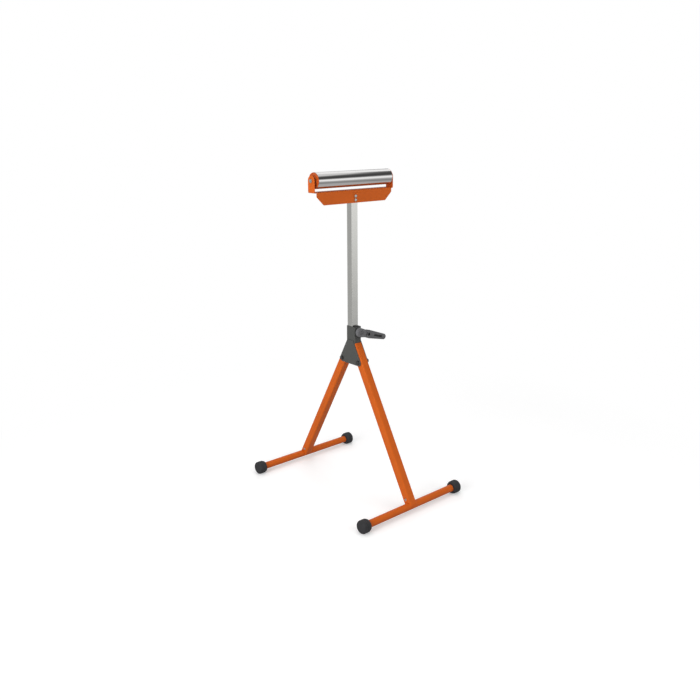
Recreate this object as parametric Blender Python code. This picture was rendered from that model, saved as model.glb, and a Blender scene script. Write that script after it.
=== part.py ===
"""Folding roller stand: builds every separate piece as its own closed solid.

Sizes are in millimetres here and the meshes are in metres. The floor is z = 0 and the origin lies
midway between the four feet. +X runs along the roller and the foot bars, +Y towards the rear leg. The
mast stands a little to the rear of the sleeve's middle, because the clamp shoe shares the sleeve with it.
"""

import math

import bmesh
import bpy
from mathutils import Matrix, Vector

MM = 0.001

# Fits
FIT = 0.3  # space kept between pieces that touch
BOLT_SLACK = 0.4  # a hole's wall from its bolt
OVER = 6.0  # how far a cutter runs past the faces that it cuts

# Overall layout
LEG_SPREAD = 281.5  # foot bar's axis from the middle, along Y
BAR_HEIGHT = 21.0  # foot bar's axis above the floor
PIVOT_Y = 40.5
PIVOT_Z = 452.6
ROLLER_HEIGHT = 1044.0  # roller's axis above the floor
SIDES_X = ((-1, "left"), (1, "right"))
SIDES_Y = ((-1, "front"), (1, "rear"))

# Roller
ROLLER_R = 25.0
ROLLER_WALL = 1.5
ROLLER_HALF = 151.0
ROLLER_EDGE = 0.4
PLUG_DEPTH = 14.0
PLUG_LIP = 1.5
PLUG_EDGE = 0.6
PLUG_COLLAR = 0.8  # raised collar round the bearing
PLUG_COLLAR_WALL = 2.7
PLUG_BACK_R = 6.5  # opening behind the bearing
BEARING_R = 11.0
BEARING_WIDTH = 7.0
BALLS = 7
BALL_R = 1.7
BALL_PITCH = 7.5
CAGE_R = 0.75
RACE_DEEP = 0.4  # groove in each ring
AXLE_R = 4.0
AXLE_HEAD_R = 6.2
AXLE_HEAD = 3.0
AXLE_EDGE = 0.4
AXLE_SPACER_R = 5.8

# Head bracket, one folded sheet
SHEET = 2.5
EAR_SPACE = 11.5  # from the roller's end to the outer face of an ear
ROLLER_GAP = 9.0  # free height under the roller
FLANGE_SETBACK = 8.5  # end of a flange from the outer face of an ear
FLANGE_DEEP = 40.0
CORNER_LONG = 27.0  # slanted lower corner, along X
CORNER_HIGH = 26.0
CORNER_R = 3.0
BEND_R = 3.5  # outside of a bend
BEND_INNER_R = 1.5
BEND_STEPS = 6
EAR_HALF = 15.5
EAR_FOOT = 8.0  # the ear's trimmed sides start this far below the web
EAR_STEPS = 16
HOLE_CLOCK = math.radians(4)  # turns the axle holes' facets off the ears'
PANEL_HALF = 7.0  # pressed strip that seats on the mast
PANEL_IN = 9.0  # strip's upper end below the web
PANEL_UP = 3.5  # strip's lower end above the flange's edge
PANEL_PRESS = 1.2
PANEL_CORNER = 2.2
PANEL_RIM = 3.0
BOLT_IN = 19.0  # upper bolt below the web
BOLT_STEP = 12.0
HEAD_BOLT_R = 3.0
HEAD_R = 5.0
HEAD_HIGH = 3.2
SOCKET_FLATS = 3.2
HEAD_NUT_FLATS = 10.0
HEAD_NUT = 5.0
BOLT_TAIL = 1.6
BOLT_EDGE = 0.6

# Mast
MAST_SIDE = 25.4
MAST_WALL = 1.5
MAST_CORNER = 2.4
MAST_BELOW = 2.6  # mast's lower end below the pivots, as stored
RIM_X = 1.4  # the foot's rim past the mast
RIM_Y = 1.1
RIM_THICK = 3.7
SPIGOT_LONG = 20.0
FOOT_WALL = 2.9

# Sleeve and gussets
SLEEVE_WALL = 1.5
SLEEVE_CORNER = 3.0
SLIDE_GAP = 0.4  # mast to sleeve, each side along X
REAR_GAP = 0.5  # mast to sleeve, behind
SHOE_SPACE = 11.5  # in front of the mast
SLEEVE_UP = 27.4  # lower end above the pivots
SLEEVE_LONG = 88.0
GUSSET = 2.3
GUSSET_UP = 69.4
GUSSET_DOWN = 12.6
GUSSET_EDGE = 13.1  # edge of the plate from the leg's axis, along Y
GUSSET_ROUND = 11.0
GUSSET_TOP_ROUND = 4.0

# Legs and feet
LEG_SLACK = 0.7  # leg to gusset
LEG_SIDE = 28.0
LEG_WALL = 1.5
LEG_CORNER = 4.0
LEG_ABOVE = 61.4  # leg's tip above the pivots
BAR_R = 12.0
BAR_WALL = 1.5
BAR_HALF = 216.0
CAP_R = 21.9
CAP_LENGTH = 31.0
CAP_WALL = 3.2
CAP_MOUTH_WALL = 4.3
CAP_NECK = 8.5
CAP_DOME = 7.5
PIVOT_R = 4.0
PIVOT_HEAD = 5.0
PIVOT_NUT = 6.5
PIVOT_TAIL = 3.0
PIVOT_FLATS = 13.0
PIVOT_CLOCK = 0.3  # how the hexagons happen to be turned
PIVOT_SPACER_R = 6.8
INSERT_LONG = 33.0
FOOT_SCREW_UP = 23.6  # up the leg from the bar's axis
FOOT_SCREW_R = 2.2
FOOT_SCREW_TIP = 1.0
FOOT_HEAD_R = 4.4
FOOT_HEAD = 2.4

# Clamp
CLAMP_IN = 17.0  # screw below the sleeve's rim
CLAMP_R = 4.0
SCREW_EDGE = 0.8
BOSS_R = 9.0
BOSS_LONG = 5.0
BOSS_EDGE = 0.8
SHOE_THICK = 6.0
SHOE_HALF = 12.4
SHOE_HIGH = 31.0
SHOE_CORNER = 2.0
SHOE_SOCKET = 3.0
HUB_GAP = 0.5
HUB_R = 15.0
HUB_LONG = 12.0
HUB_SKIN = 2.6  # left in front of the screw's bore
HUB_STEPS = 26
DISH_R = 7.0
DISH_DEEP = 1.4
BUTTON_HIGH = 3.5
LEVER_LONG = 114.0
LEVER_DROOP = math.radians(17.0)
NECK_HALF = 13.0
NECK_SETBACK = 4.0
NECK_STEP = 1.6
GRIP_START = 36.0
GRIP_HALF = 13.6
GRIP_END_HALF = 9.6
GRIP_THICK = 14.0
GRIP_EDGE = 2.6
NOSE_STEPS = 12
CORE_HALF = 6.0
CORE_THICK = 6.0
CORE_ROOT = 12.0  # core inside the neck
CORE_SHORT = 12.0  # core short of the grip's nose
EYE_R = 4.6
EYE_IN = 8.0
EYE_DEEP = 2.6
GROOVE_IN = 30.0
GROOVE_LONG = 40.0
GROOVE_HALF = 3.0
GROOVE_DEEP = 1.5

# Derived places
BRACKET_HALF = ROLLER_HALF + EAR_SPACE
BRACKET_DEPTH = MAST_SIDE / 2 + FIT + SHEET + PANEL_PRESS
BRACKET_TOP = ROLLER_HEIGHT - ROLLER_R - ROLLER_GAP
FLANGE_HALF = BRACKET_HALF - FLANGE_SETBACK
FLANGE_LOW = BRACKET_TOP - FLANGE_DEEP
FLANGE_STEP = FLANGE_LOW + CORNER_HIGH
FLANGE_LOW_HALF = FLANGE_HALF - CORNER_LONG
PANEL_HIGH = BRACKET_TOP - PANEL_IN
PANEL_LOW = FLANGE_LOW + PANEL_UP
HEAD_BOLT_Z = (BRACKET_TOP - BOLT_IN, BRACKET_TOP - BOLT_IN - BOLT_STEP)
SLEEVE_X = MAST_SIDE + 2 * (SLIDE_GAP + SLEEVE_WALL)
SLEEVE_Y = MAST_SIDE + REAR_GAP + SHOE_SPACE + 2 * SLEEVE_WALL
SLEEVE_LOW = PIVOT_Z + SLEEVE_UP
SLEEVE_TOP = SLEEVE_LOW + SLEEVE_LONG
SLEEVE_FRONT = -SLEEVE_Y / 2
GUSSET_TOP = PIVOT_Z + GUSSET_UP
GUSSET_LOW = PIVOT_Z - GUSSET_DOWN
PLATE_IN = SLEEVE_X / 2 + FIT
PLATE_OUT = PLATE_IN + GUSSET
MAST_Y = SLEEVE_Y / 2 - SLEEVE_WALL - REAR_GAP - MAST_SIDE / 2
MAST_LOW = PIVOT_Z - MAST_BELOW
MAST_FRONT = MAST_Y - MAST_SIDE / 2
ROLLER_CENTRE = (MAST_Y, ROLLER_HEIGHT)
LEG_X = 2 * (PLATE_IN - LEG_SLACK)
LEG_TILT = math.atan2(LEG_SPREAD - PIVOT_Y, PIVOT_Z - BAR_HEIGHT)
LEG_LONG = math.hypot(LEG_SPREAD - PIVOT_Y, PIVOT_Z - BAR_HEIGHT)
CLAMP_Z = SLEEVE_TOP - CLAMP_IN
SHOE_FACE = MAST_FRONT - FIT
HUB_BACK = SLEEVE_FRONT - FIT - BOSS_LONG - HUB_GAP
HUB_FRONT = HUB_BACK - HUB_LONG
LEVER_MIDDLE = (HUB_FRONT + HUB_BACK) / 2

COLOURS = {
    "orange": (0.56, 0.098, 0.014, 1.0, 0.0, 0.42),
    "chrome": (0.86, 0.86, 0.86, 1.0, 1.0, 0.12),
    "grey": (0.095, 0.095, 0.09, 1.0, 0.0, 0.5),
    "black": (0.035, 0.035, 0.037, 1.0, 0.0, 0.6),
    "rubber": (0.045, 0.045, 0.048, 1.0, 0.0, 0.8),
    "steel": (0.55, 0.55, 0.54, 1.0, 1.0, 0.35),
    "zinc": (0.62, 0.62, 0.58, 1.0, 1.0, 0.4),
    "plastic": (0.03, 0.03, 0.03, 1.0, 0.0, 0.55),
    "brass": (0.45, 0.33, 0.12, 1.0, 1.0, 0.4),
}


def clear_scene():
    """Removes what the startup file holds."""
    for obj in list(bpy.data.objects):
        bpy.data.objects.remove(obj, do_unlink=True)


def finish_look(obj, colour):
    """Gives the object a material of its own and smooth round faces."""
    red, green, blue, alpha, metallic, rough = COLOURS[colour]
    material = bpy.data.materials.new(obj.name + "_finish")
    material.use_nodes = True
    shader = material.node_tree.nodes["Principled BSDF"]
    shader.inputs["Base Color"].default_value = (red, green, blue, alpha)
    shader.inputs["Metallic"].default_value = metallic
    shader.inputs["Roughness"].default_value = rough
    material.diffuse_color = (red, green, blue, alpha)
    obj.data.materials.append(material)
    obj.data.shade_smooth()
    obj.data.set_sharp_from_angle(angle=math.radians(32))


def new_object(name, points, faces):
    """Makes a mesh object from millimetre points, with its faces turned outwards."""
    mesh = bpy.data.meshes.new(name)
    work = bmesh.new()
    verts = [work.verts.new(Vector(p) * MM) for p in points]
    for face in faces:
        work.faces.new([verts[i] for i in face])
    bmesh.ops.recalc_face_normals(work, faces=work.faces)
    work.to_mesh(mesh)
    work.free()
    obj = bpy.data.objects.new(name, mesh)
    bpy.context.scene.collection.objects.link(obj)
    return obj


def place(obj, matrix):
    """Moves the mesh itself, so that the object's own origin stays where it was."""
    obj.data.transform(matrix)
    if matrix.determinant() < 0:
        obj.data.flip_normals()
    return obj


def shift(x=0.0, y=0.0, z=0.0):
    """Matrix that moves by millimetres."""
    return Matrix.Translation(Vector((x, y, z)) * MM)


def turn(angle, axis):
    """Matrix that turns about an axis through the origin."""
    return Matrix.Rotation(angle, 4, axis)


def set_origin(obj, point):
    """Puts the object's origin at a millimetre point without moving the mesh."""
    there = Vector(point) * MM
    obj.data.transform(Matrix.Translation(-there))
    obj.location = there
    return obj


def lift(axis, a, b, c):
    """Coordinates (along the axis, and the two across it) as x, y, z."""
    return {"X": (c, a, b), "Y": (a, c, b), "Z": (a, b, c)}[axis]


def prism(name, axis, outline, low, high, hole=None):
    """Extrudes a closed outline along an axis; a hole has as many points as the outline."""
    count = len(outline)
    points = [lift(axis, a, b, c) for c in (low, high) for a, b in outline]
    sides = [(i, (i + 1) % count, count + (i + 1) % count, count + i) for i in range(count)]
    if hole is None:
        ends = [tuple(range(count)), tuple(range(count, 2 * count))]
        return new_object(name, points, sides + ends)
    points += [lift(axis, a, b, c) for c in (low, high) for a, b in hole]
    base = 2 * count
    for i in range(count):
        j = (i + 1) % count
        sides.append((base + i, base + j, base + count + j, base + count + i))
        sides.append((i, j, base + j, base + i))
        sides.append((count + i, count + j, base + count + j, base + count + i))
    return new_object(name, points, sides)


def revolve(name, axis, profile, segments=32, across=(0.0, 0.0)):
    """Turns a closed profile of (along, radius) points about an axis through a point across it."""
    count = len(profile)
    points, rings = [], []
    for k in range(segments):
        angle = 2 * math.pi * k / segments
        ring = []
        for along, radius in profile:
            a = across[0] + radius * math.cos(angle)
            b = across[1] + radius * math.sin(angle)
            ring.append(len(points))
            points.append(lift(axis, a, b, along))
        rings.append(ring)
    poles = [i for i in range(count) if profile[i][1] < 1e-9]
    for i in poles:
        for ring in rings[1:]:
            ring[i] = rings[0][i]
    faces = []
    for k in range(segments):
        here, there = rings[k], rings[(k + 1) % segments]
        for i in range(count):
            j = (i + 1) % count
            corners = []
            for index in (here[i], here[j], there[j], there[i]):
                if index not in corners:
                    corners.append(index)
            if len(corners) > 2:
                faces.append(tuple(corners))
    used = sorted({i for face in faces for i in face})
    order = {old: new for new, old in enumerate(used)}
    return new_object(name, [points[i] for i in used], [tuple(order[i] for i in f) for f in faces])


def rounded(width, depth, radius, steps=3, middle=(0.0, 0.0)):
    """Outline of a rectangle with rounded corners."""
    outline = []
    for turn_index, (sx, sy) in enumerate(((1, 1), (-1, 1), (-1, -1), (1, -1))):
        cx = middle[0] + sx * (width / 2 - radius)
        cy = middle[1] + sy * (depth / 2 - radius)
        for k in range(steps + 1):
            angle = math.pi / 2 * (turn_index + k / steps)
            outline.append((cx + radius * math.cos(angle), cy + radius * math.sin(angle)))
    return outline


def circle(radius, segments, middle=(0.0, 0.0), start=0.0):
    """Outline of a circle as so many points."""
    return [
        (
            middle[0] + radius * math.cos(start + 2 * math.pi * k / segments),
            middle[1] + radius * math.sin(start + 2 * math.pi * k / segments),
        )
        for k in range(segments)
    ]


def soften(corners, radii, steps=5):
    """Rounds the corners of an outline, each by its own radius (0 leaves it sharp)."""
    outline = []
    count = len(corners)
    for i, (corner, radius) in enumerate(zip(corners, radii)):
        here = Vector(corner)
        if radius <= 0:
            outline.append(tuple(here))
            continue
        back = (Vector(corners[i - 1]) - here).normalized()
        ahead = (Vector(corners[(i + 1) % count]) - here).normalized()
        half = back.angle(ahead) / 2
        centre = here + (back + ahead).normalized() * (radius / math.sin(half))
        first = here + back * (radius / math.tan(half)) - centre
        last = here + ahead * (radius / math.tan(half)) - centre
        begin = math.atan2(first.y, first.x)
        sweep = (math.atan2(last.y, last.x) - begin + math.pi) % (2 * math.pi) - math.pi
        for k in range(steps + 1):
            angle = begin + sweep * k / steps
            outline.append((centre.x + radius * math.cos(angle), centre.y + radius * math.sin(angle)))
    return outline


def boolean(target, tool, operation):
    """Adds a live Boolean; the tool stays in the scene as a hidden helper."""
    tool.hide_render = True
    tool.display_type = "WIRE"
    modifier = target.modifiers.new(operation.title() + "_" + tool.name, "BOOLEAN")
    modifier.operation = operation
    modifier.solver = "EXACT"
    modifier.object = tool
    return target


def cut(target, tool):
    """Takes the tool's shape out of the target."""
    return boolean(target, tool, "DIFFERENCE")


def box(name, low, high):
    """Block between two corners."""
    outline = [(low[0], low[1]), (high[0], low[1]), (high[0], high[1]), (low[0], high[1])]
    return prism(name, "Z", outline, low[2], high[2])


def rod(name, axis, radius, low, high, across, segments=24):
    """Straight round bar along an axis."""
    return prism(name, axis, circle(radius, segments, across), low, high)


def hexagon(flats, middle, start=0.0):
    """Outline of a hexagon by its width across flats."""
    return circle(flats / math.sqrt(3), 6, middle, start)


def bevel(obj, width, segments=1, angle=40):
    """Breaks the sharp edges of a piece."""
    modifier = obj.modifiers.new("edge_break", "BEVEL")
    modifier.width = width * MM
    modifier.segments = segments
    modifier.limit_method = "ANGLE"
    modifier.angle_limit = math.radians(angle)
    return obj


# Roller


def roller_tube():
    """Steel tube with its end edges broken."""
    inner = ROLLER_R - ROLLER_WALL
    profile = [
        (-ROLLER_HALF, ROLLER_R - ROLLER_EDGE),
        (-ROLLER_HALF + ROLLER_EDGE, ROLLER_R),
        (ROLLER_HALF - ROLLER_EDGE, ROLLER_R),
        (ROLLER_HALF, ROLLER_R - ROLLER_EDGE),
        (ROLLER_HALF, inner),
        (-ROLLER_HALF, inner),
    ]
    tube = revolve("roller_tube", "X", profile, 44, ROLLER_CENTRE)
    set_origin(tube, (0, MAST_Y, ROLLER_HEIGHT))
    finish_look(tube, "chrome")


def end_plug(label, side):
    """Plastic plug with a lip over the tube's end, a pocket for the bearing and a collar round it."""
    seat = ROLLER_HALF + FIT
    face = seat + PLUG_LIP
    spigot = ROLLER_R - ROLLER_WALL - FIT
    lip = ROLLER_R - FIT
    pocket = BEARING_R + FIT
    floor = ROLLER_HALF - BEARING_WIDTH - FIT
    profile = [
        (ROLLER_HALF - PLUG_DEPTH, PLUG_BACK_R),
        (ROLLER_HALF - PLUG_DEPTH, spigot),
        (seat, spigot),
        (seat, lip),
        (face - PLUG_EDGE, lip),
        (face, lip - PLUG_EDGE),
        (face, pocket + PLUG_COLLAR_WALL),
        (face + PLUG_COLLAR, pocket + PLUG_COLLAR),
        (face + PLUG_COLLAR, pocket),
        (floor, pocket),
        (floor, PLUG_BACK_R),
    ]
    profile = [(side * x, radius) for x, radius in profile]
    plug = revolve("end_plug_" + label, "X", profile, 28, ROLLER_CENTRE)
    set_origin(plug, (side * ROLLER_HALF, MAST_Y, ROLLER_HEIGHT))
    finish_look(plug, "orange")


def bearing(label, side):
    """Grooved outer and inner ring, and the row of balls in its cage."""
    near = side * (ROLLER_HALF - BEARING_WIDTH)
    far = side * ROLLER_HALF
    middle = (near + far) / 2
    groove = BALL_R + FIT
    profile = [
        (near, BEARING_R),
        (far, BEARING_R),
        (far, BALL_PITCH + groove - RACE_DEEP),
        (middle, BALL_PITCH + groove),
        (near, BALL_PITCH + groove - RACE_DEEP),
    ]
    outer = revolve("bearing_outer_ring_" + label, "X", profile, 24, ROLLER_CENTRE)
    finish_look(outer, "steel")
    profile = [
        (near, BALL_PITCH - groove + RACE_DEEP),
        (middle, BALL_PITCH - groove),
        (far, BALL_PITCH - groove + RACE_DEEP),
        (far, AXLE_R + FIT),
        (near, AXLE_R + FIT),
    ]
    inner = revolve("bearing_inner_ring_" + label, "X", profile, 20, ROLLER_CENTRE)
    finish_look(inner, "steel")
    ball_row(label, middle)


def ball_row(label, middle):
    """One closed ring that swells at each ball and is thin where the cage lies between them."""
    steps, around = 6 * BALLS, 6
    points, faces = [], []
    for k in range(steps):
        angle = 2 * math.pi * k / steps
        nearness = max(0.0, math.cos(angle * BALLS))
        swell = CAGE_R + (BALL_R - CAGE_R) * nearness
        for m in range(around):
            phase = 2 * math.pi * m / around
            radius = BALL_PITCH + swell * math.cos(phase)
            points.append(
                (
                    middle + swell * math.sin(phase),
                    MAST_Y + radius * math.cos(angle),
                    ROLLER_HEIGHT + radius * math.sin(angle),
                )
            )
    for k in range(steps):
        for m in range(around):
            ahead, beside = (k + 1) % steps, (m + 1) % around
            corners = ((k, m), (k, beside), (ahead, beside), (ahead, m))
            faces.append([ring * around + place_in_ring for ring, place_in_ring in corners])
    balls = new_object("bearing_balls_" + label, points, faces)
    finish_look(balls, "brass")


def axle():
    """Rod whose ends are formed over the ears, with a domed head at each end."""
    seat = BRACKET_HALF + FIT
    top = seat + AXLE_HEAD
    half = [
        (seat, AXLE_R),
        (seat, AXLE_HEAD_R - AXLE_EDGE),
        (seat + AXLE_EDGE, AXLE_HEAD_R),
        (seat + AXLE_HEAD * 0.4, AXLE_HEAD_R),
        (top - AXLE_HEAD * 0.2, AXLE_HEAD_R * 0.74),
        (top, AXLE_HEAD_R * 0.4),
        (top, 0.0),
    ]
    profile = [(-x, r) for x, r in reversed(half)] + half
    obj = revolve("roller_axle", "X", profile, 16, ROLLER_CENTRE)
    finish_look(obj, "steel")


def axle_spacer(label, side):
    """Tube between the bearing's inner ring and the ear."""
    low = side * (ROLLER_HALF + FIT)
    high = side * (BRACKET_HALF - SHEET - FIT)
    bore = AXLE_R + FIT
    profile = [(low, bore), (low, AXLE_SPACER_R), (high, AXLE_SPACER_R), (high, bore)]
    obj = revolve("axle_spacer_" + label, "X", profile, 20, ROLLER_CENTRE)
    finish_look(obj, "zinc")


# Head bracket and mast


def head_bracket():
    """Inverted channel with two ears bent up, folded from one sheet."""
    ear_top = ROLLER_HEIGHT + EAR_HALF + OVER
    half = [
        (FLANGE_LOW_HALF, FLANGE_LOW),
        (FLANGE_HALF, FLANGE_STEP),
        (FLANGE_HALF, BRACKET_TOP - SHEET),
        (BRACKET_HALF, BRACKET_TOP - SHEET),
        (BRACKET_HALF, ear_top),
        (BRACKET_HALF - SHEET, ear_top),
        (BRACKET_HALF - SHEET, BRACKET_TOP),
    ]
    radii = [CORNER_R, CORNER_R, 0.0, BEND_R, 0.0, 0.0, BEND_INNER_R]
    corners = half + [(-x, z) for x, z in reversed(half)]
    outline = soften(corners, radii + radii[::-1])
    bracket = prism("head_bracket", "Y", outline, MAST_Y - BRACKET_DEPTH, MAST_Y + BRACKET_DEPTH)
    open_channel(bracket)
    round_bends(bracket)
    shape_ears(bracket)
    press_panels(bracket)
    finish_look(bracket, "orange")


def open_channel(bracket):
    """Clears the space between the flanges."""
    front = MAST_Y - BRACKET_DEPTH + SHEET
    rear = MAST_Y + BRACKET_DEPTH - SHEET
    low, high = FLANGE_LOW - OVER, BRACKET_TOP - SHEET
    corners = [(front, low), (rear, low), (rear, high), (front, high)]
    under = soften(corners, [0.0, 0.0, BEND_INNER_R, BEND_INNER_R])
    reach = BRACKET_HALF + OVER
    cut(bracket, prism("tool_channel", "X", under, -reach, reach))


def round_bends(bracket):
    """Rounds the outside of the two long bends between web and flange."""
    reach = BRACKET_HALF - SHEET - BEND_INNER_R
    hub_z = BRACKET_TOP - BEND_R
    for sign, label in SIDES_Y:
        edge = MAST_Y + sign * BRACKET_DEPTH
        hub_y = edge - sign * BEND_R
        arc = []
        for k in range(BEND_STEPS + 1):
            angle = math.pi / 2 * k / BEND_STEPS
            arc.append((hub_y + sign * BEND_R * math.sin(angle), hub_z + BEND_R * math.cos(angle)))
        past = edge + sign * OVER
        nib = arc + [(past, hub_z), (past, BRACKET_TOP + OVER / 2), (hub_y, BRACKET_TOP + OVER / 2)]
        cut(bracket, prism("tool_bend_" + label, "X", nib, -reach, reach))


def shape_ears(bracket):
    """Trims each ear to a round top and drills it for the axle."""
    arch = [
        (y + MAST_Y, z + ROLLER_HEIGHT)
        for y, z in circle(EAR_HALF, 2 * EAR_STEPS)[: EAR_STEPS + 1]
    ]
    foot = BRACKET_TOP - EAR_FOOT
    wide, high = BRACKET_DEPTH + OVER, ROLLER_HEIGHT + EAR_HALF + 2 * OVER
    around = [(MAST_Y + wide, foot), (MAST_Y + EAR_HALF, foot)]
    around += arch
    around += [(MAST_Y - EAR_HALF, foot), (MAST_Y - wide, foot)]
    around += [(MAST_Y - wide, high), (MAST_Y + wide, high)]
    for side, label in SIDES_X:
        near, far = sorted((side * (FLANGE_HALF + 0.5), side * (BRACKET_HALF + OVER)))
        cut(bracket, prism("tool_ear_" + label, "X", around, near, far))
        hole = circle(AXLE_R + FIT, 24, ROLLER_CENTRE, HOLE_CLOCK)
        cut(bracket, prism("tool_axle_" + label, "X", hole, near - 1.0, far + 1.0))


def press_panels(bracket):
    """Presses the middle of each flange in until it seats on the mast, and drills it."""
    outer = BRACKET_DEPTH - PANEL_PRESS
    inner = outer - SHEET
    width = 2 * PANEL_HALF
    tall = PANEL_HIGH - PANEL_LOW
    middle = (0.0, (PANEL_HIGH + PANEL_LOW) / 2)
    pad_outline = rounded(width + PANEL_RIM, tall + PANEL_RIM, PANEL_CORNER + PANEL_RIM / 2, 4, middle)
    press_outline = rounded(width, tall, PANEL_CORNER, 4, middle)
    for sign, label in SIDES_Y:
        ends = sorted((MAST_Y + sign * inner, MAST_Y + sign * (outer - FIT)))
        boolean(bracket, prism("tool_pad_" + label, "Y", pad_outline, *ends), "UNION")
        ends = sorted((MAST_Y + sign * outer, MAST_Y + sign * (BRACKET_DEPTH + OVER)))
        cut(bracket, prism("tool_press_" + label, "Y", press_outline, *ends))
    drill_for_bolts(bracket, "bracket", BRACKET_DEPTH + OVER)


def drill_for_bolts(target, label, reach):
    """Drills the target along Y for both head bolts."""
    for number, height in enumerate(HEAD_BOLT_Z, 1):
        ends = MAST_Y - reach, MAST_Y + reach
        name = f"tool_{label}_hole_{number}"
        cut(target, rod(name, "Y", HEAD_BOLT_R + FIT, *ends, (0.0, height), 16))


def mast_column():
    """Square tube that carries the head bracket and slides in the sleeve."""
    inner = MAST_SIDE - 2 * MAST_WALL
    middle = (0.0, MAST_Y)
    column = prism(
        "mast_column",
        "Z",
        rounded(MAST_SIDE, MAST_SIDE, MAST_CORNER, 3, middle),
        MAST_LOW,
        BRACKET_TOP - SHEET - FIT,
        rounded(inner, inner, MAST_CORNER / 2, 3, middle),
    )
    drill_for_bolts(column, "mast", MAST_SIDE)
    set_origin(column, (0, MAST_Y, SLEEVE_TOP))
    finish_look(column, "chrome")


def mast_foot():
    """Plug in the mast's lower end; its rim is too wide for the sleeve, which stops the mast."""
    spigot_side = MAST_SIDE - 2 * MAST_WALL - 2 * FIT
    bore_side = spigot_side - 2 * FOOT_WALL
    middle = (0.0, MAST_Y)
    top = MAST_LOW - FIT
    outline = rounded(MAST_SIDE + 2 * RIM_X, MAST_SIDE + 2 * RIM_Y, MAST_CORNER + RIM_X / 2, 4, middle)
    rim = prism("mast_foot", "Z", outline, top - RIM_THICK, top)
    outline = rounded(spigot_side, spigot_side, MAST_CORNER / 2, 3, middle)
    spigot = prism("tool_spigot", "Z", outline, top - RIM_THICK / 2, MAST_LOW + SPIGOT_LONG)
    boolean(rim, spigot, "UNION")
    outline = rounded(bore_side, bore_side, MAST_CORNER, 3, middle)
    bore = prism("tool_foot_bore", "Z", outline, top - RIM_THICK - OVER, MAST_LOW + SPIGOT_LONG - FOOT_WALL)
    cut(rim, bore)
    finish_look(rim, "plastic")


def head_bolt(number, height):
    """Button-head bolt through the bracket and the mast, with its nut behind."""
    panel = BRACKET_DEPTH - PANEL_PRESS
    seat = MAST_Y - panel - FIT
    back = MAST_Y + panel + FIT
    tail = back + HEAD_NUT + BOLT_TAIL
    profile = [
        (seat - HEAD_HIGH, 0.0),
        (seat - HEAD_HIGH, HEAD_R * 0.44),
        (seat - HEAD_HIGH * 0.75, HEAD_R * 0.78),
        (seat - HEAD_HIGH * 0.28, HEAD_R * 0.98),
        (seat, HEAD_R),
        (seat, HEAD_BOLT_R),
        (tail - BOLT_EDGE, HEAD_BOLT_R),
        (tail, HEAD_BOLT_R - BOLT_EDGE),
        (tail, 0.0),
    ]
    bolt = revolve(f"head_bolt_{number}", "Y", profile, 16, (0.0, height))
    outline = hexagon(SOCKET_FLATS, (0.0, height))
    socket = prism(f"tool_socket_{number}", "Y", outline, seat - HEAD_HIGH - OVER, seat - HEAD_HIGH / 2)
    cut(bolt, socket)
    finish_look(bolt, "zinc")
    outline = hexagon(HEAD_NUT_FLATS, (0.0, height))
    nut = prism(f"head_nut_{number}", "Y", outline, back, back + HEAD_NUT)
    ends = back - OVER, back + HEAD_NUT + OVER
    cut(nut, rod(f"tool_nut_{number}", "Y", HEAD_BOLT_R + FIT, *ends, (0.0, height), 16))
    bevel(nut, 0.5)
    finish_look(nut, "zinc")


# Sleeve, gussets and pivots


def clamp_sleeve():
    """Upright rectangular tube that guides the mast, with a hole in front for the screw."""
    inner_x, inner_y = SLEEVE_X - 2 * SLEEVE_WALL, SLEEVE_Y - 2 * SLEEVE_WALL
    outline = rounded(SLEEVE_X, SLEEVE_Y, SLEEVE_CORNER)
    hollow = rounded(inner_x, inner_y, SLEEVE_CORNER / 2)
    sleeve = prism("clamp_sleeve", "Z", outline, SLEEVE_LOW, SLEEVE_TOP, hollow)
    ends = SLEEVE_FRONT - OVER, SLEEVE_FRONT + SLEEVE_WALL + OVER / 2
    cut(sleeve, rod("tool_clamp_hole", "Y", CLAMP_R + 2 * FIT, *ends, (0.0, CLAMP_Z)))
    finish_look(sleeve, "grey")


def clamp_boss():
    """Threaded boss welded on the front of the sleeve."""
    rear = SLEEVE_FRONT - FIT
    front = rear - BOSS_LONG
    profile = [
        (rear, CLAMP_R + FIT),
        (rear, BOSS_R),
        (front + BOSS_EDGE, BOSS_R),
        (front, BOSS_R - BOSS_EDGE),
        (front, CLAMP_R + FIT),
    ]
    boss = revolve("clamp_boss", "Y", profile, 28, (0.0, CLAMP_Z))
    finish_look(boss, "grey")


def leg_axis_y(height):
    """How far the leg's axis is from the middle at a height."""
    return PIVOT_Y + (PIVOT_Z - height) * math.tan(LEG_TILT)


def gusset(label, side):
    """Tapered side plate that carries both pivots."""
    top = leg_axis_y(GUSSET_TOP) + GUSSET_EDGE
    low = leg_axis_y(GUSSET_LOW) + GUSSET_EDGE
    corners = [(-low, GUSSET_LOW), (low, GUSSET_LOW), (top, GUSSET_TOP), (-top, GUSSET_TOP)]
    radii = [GUSSET_ROUND, GUSSET_ROUND, GUSSET_TOP_ROUND, GUSSET_TOP_ROUND]
    ends = sorted((side * PLATE_IN, side * PLATE_OUT))
    plate = prism("gusset_plate_" + label, "X", soften(corners, radii, 6), *ends)
    for sign, place_name in SIDES_Y:
        middle = (sign * PIVOT_Y, PIVOT_Z)
        name = f"tool_gusset_{label}_{place_name}"
        cut(plate, rod(name, "X", PIVOT_R + BOLT_SLACK, ends[0] - OVER, ends[1] + OVER, middle))
    finish_look(plate, "grey")


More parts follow.
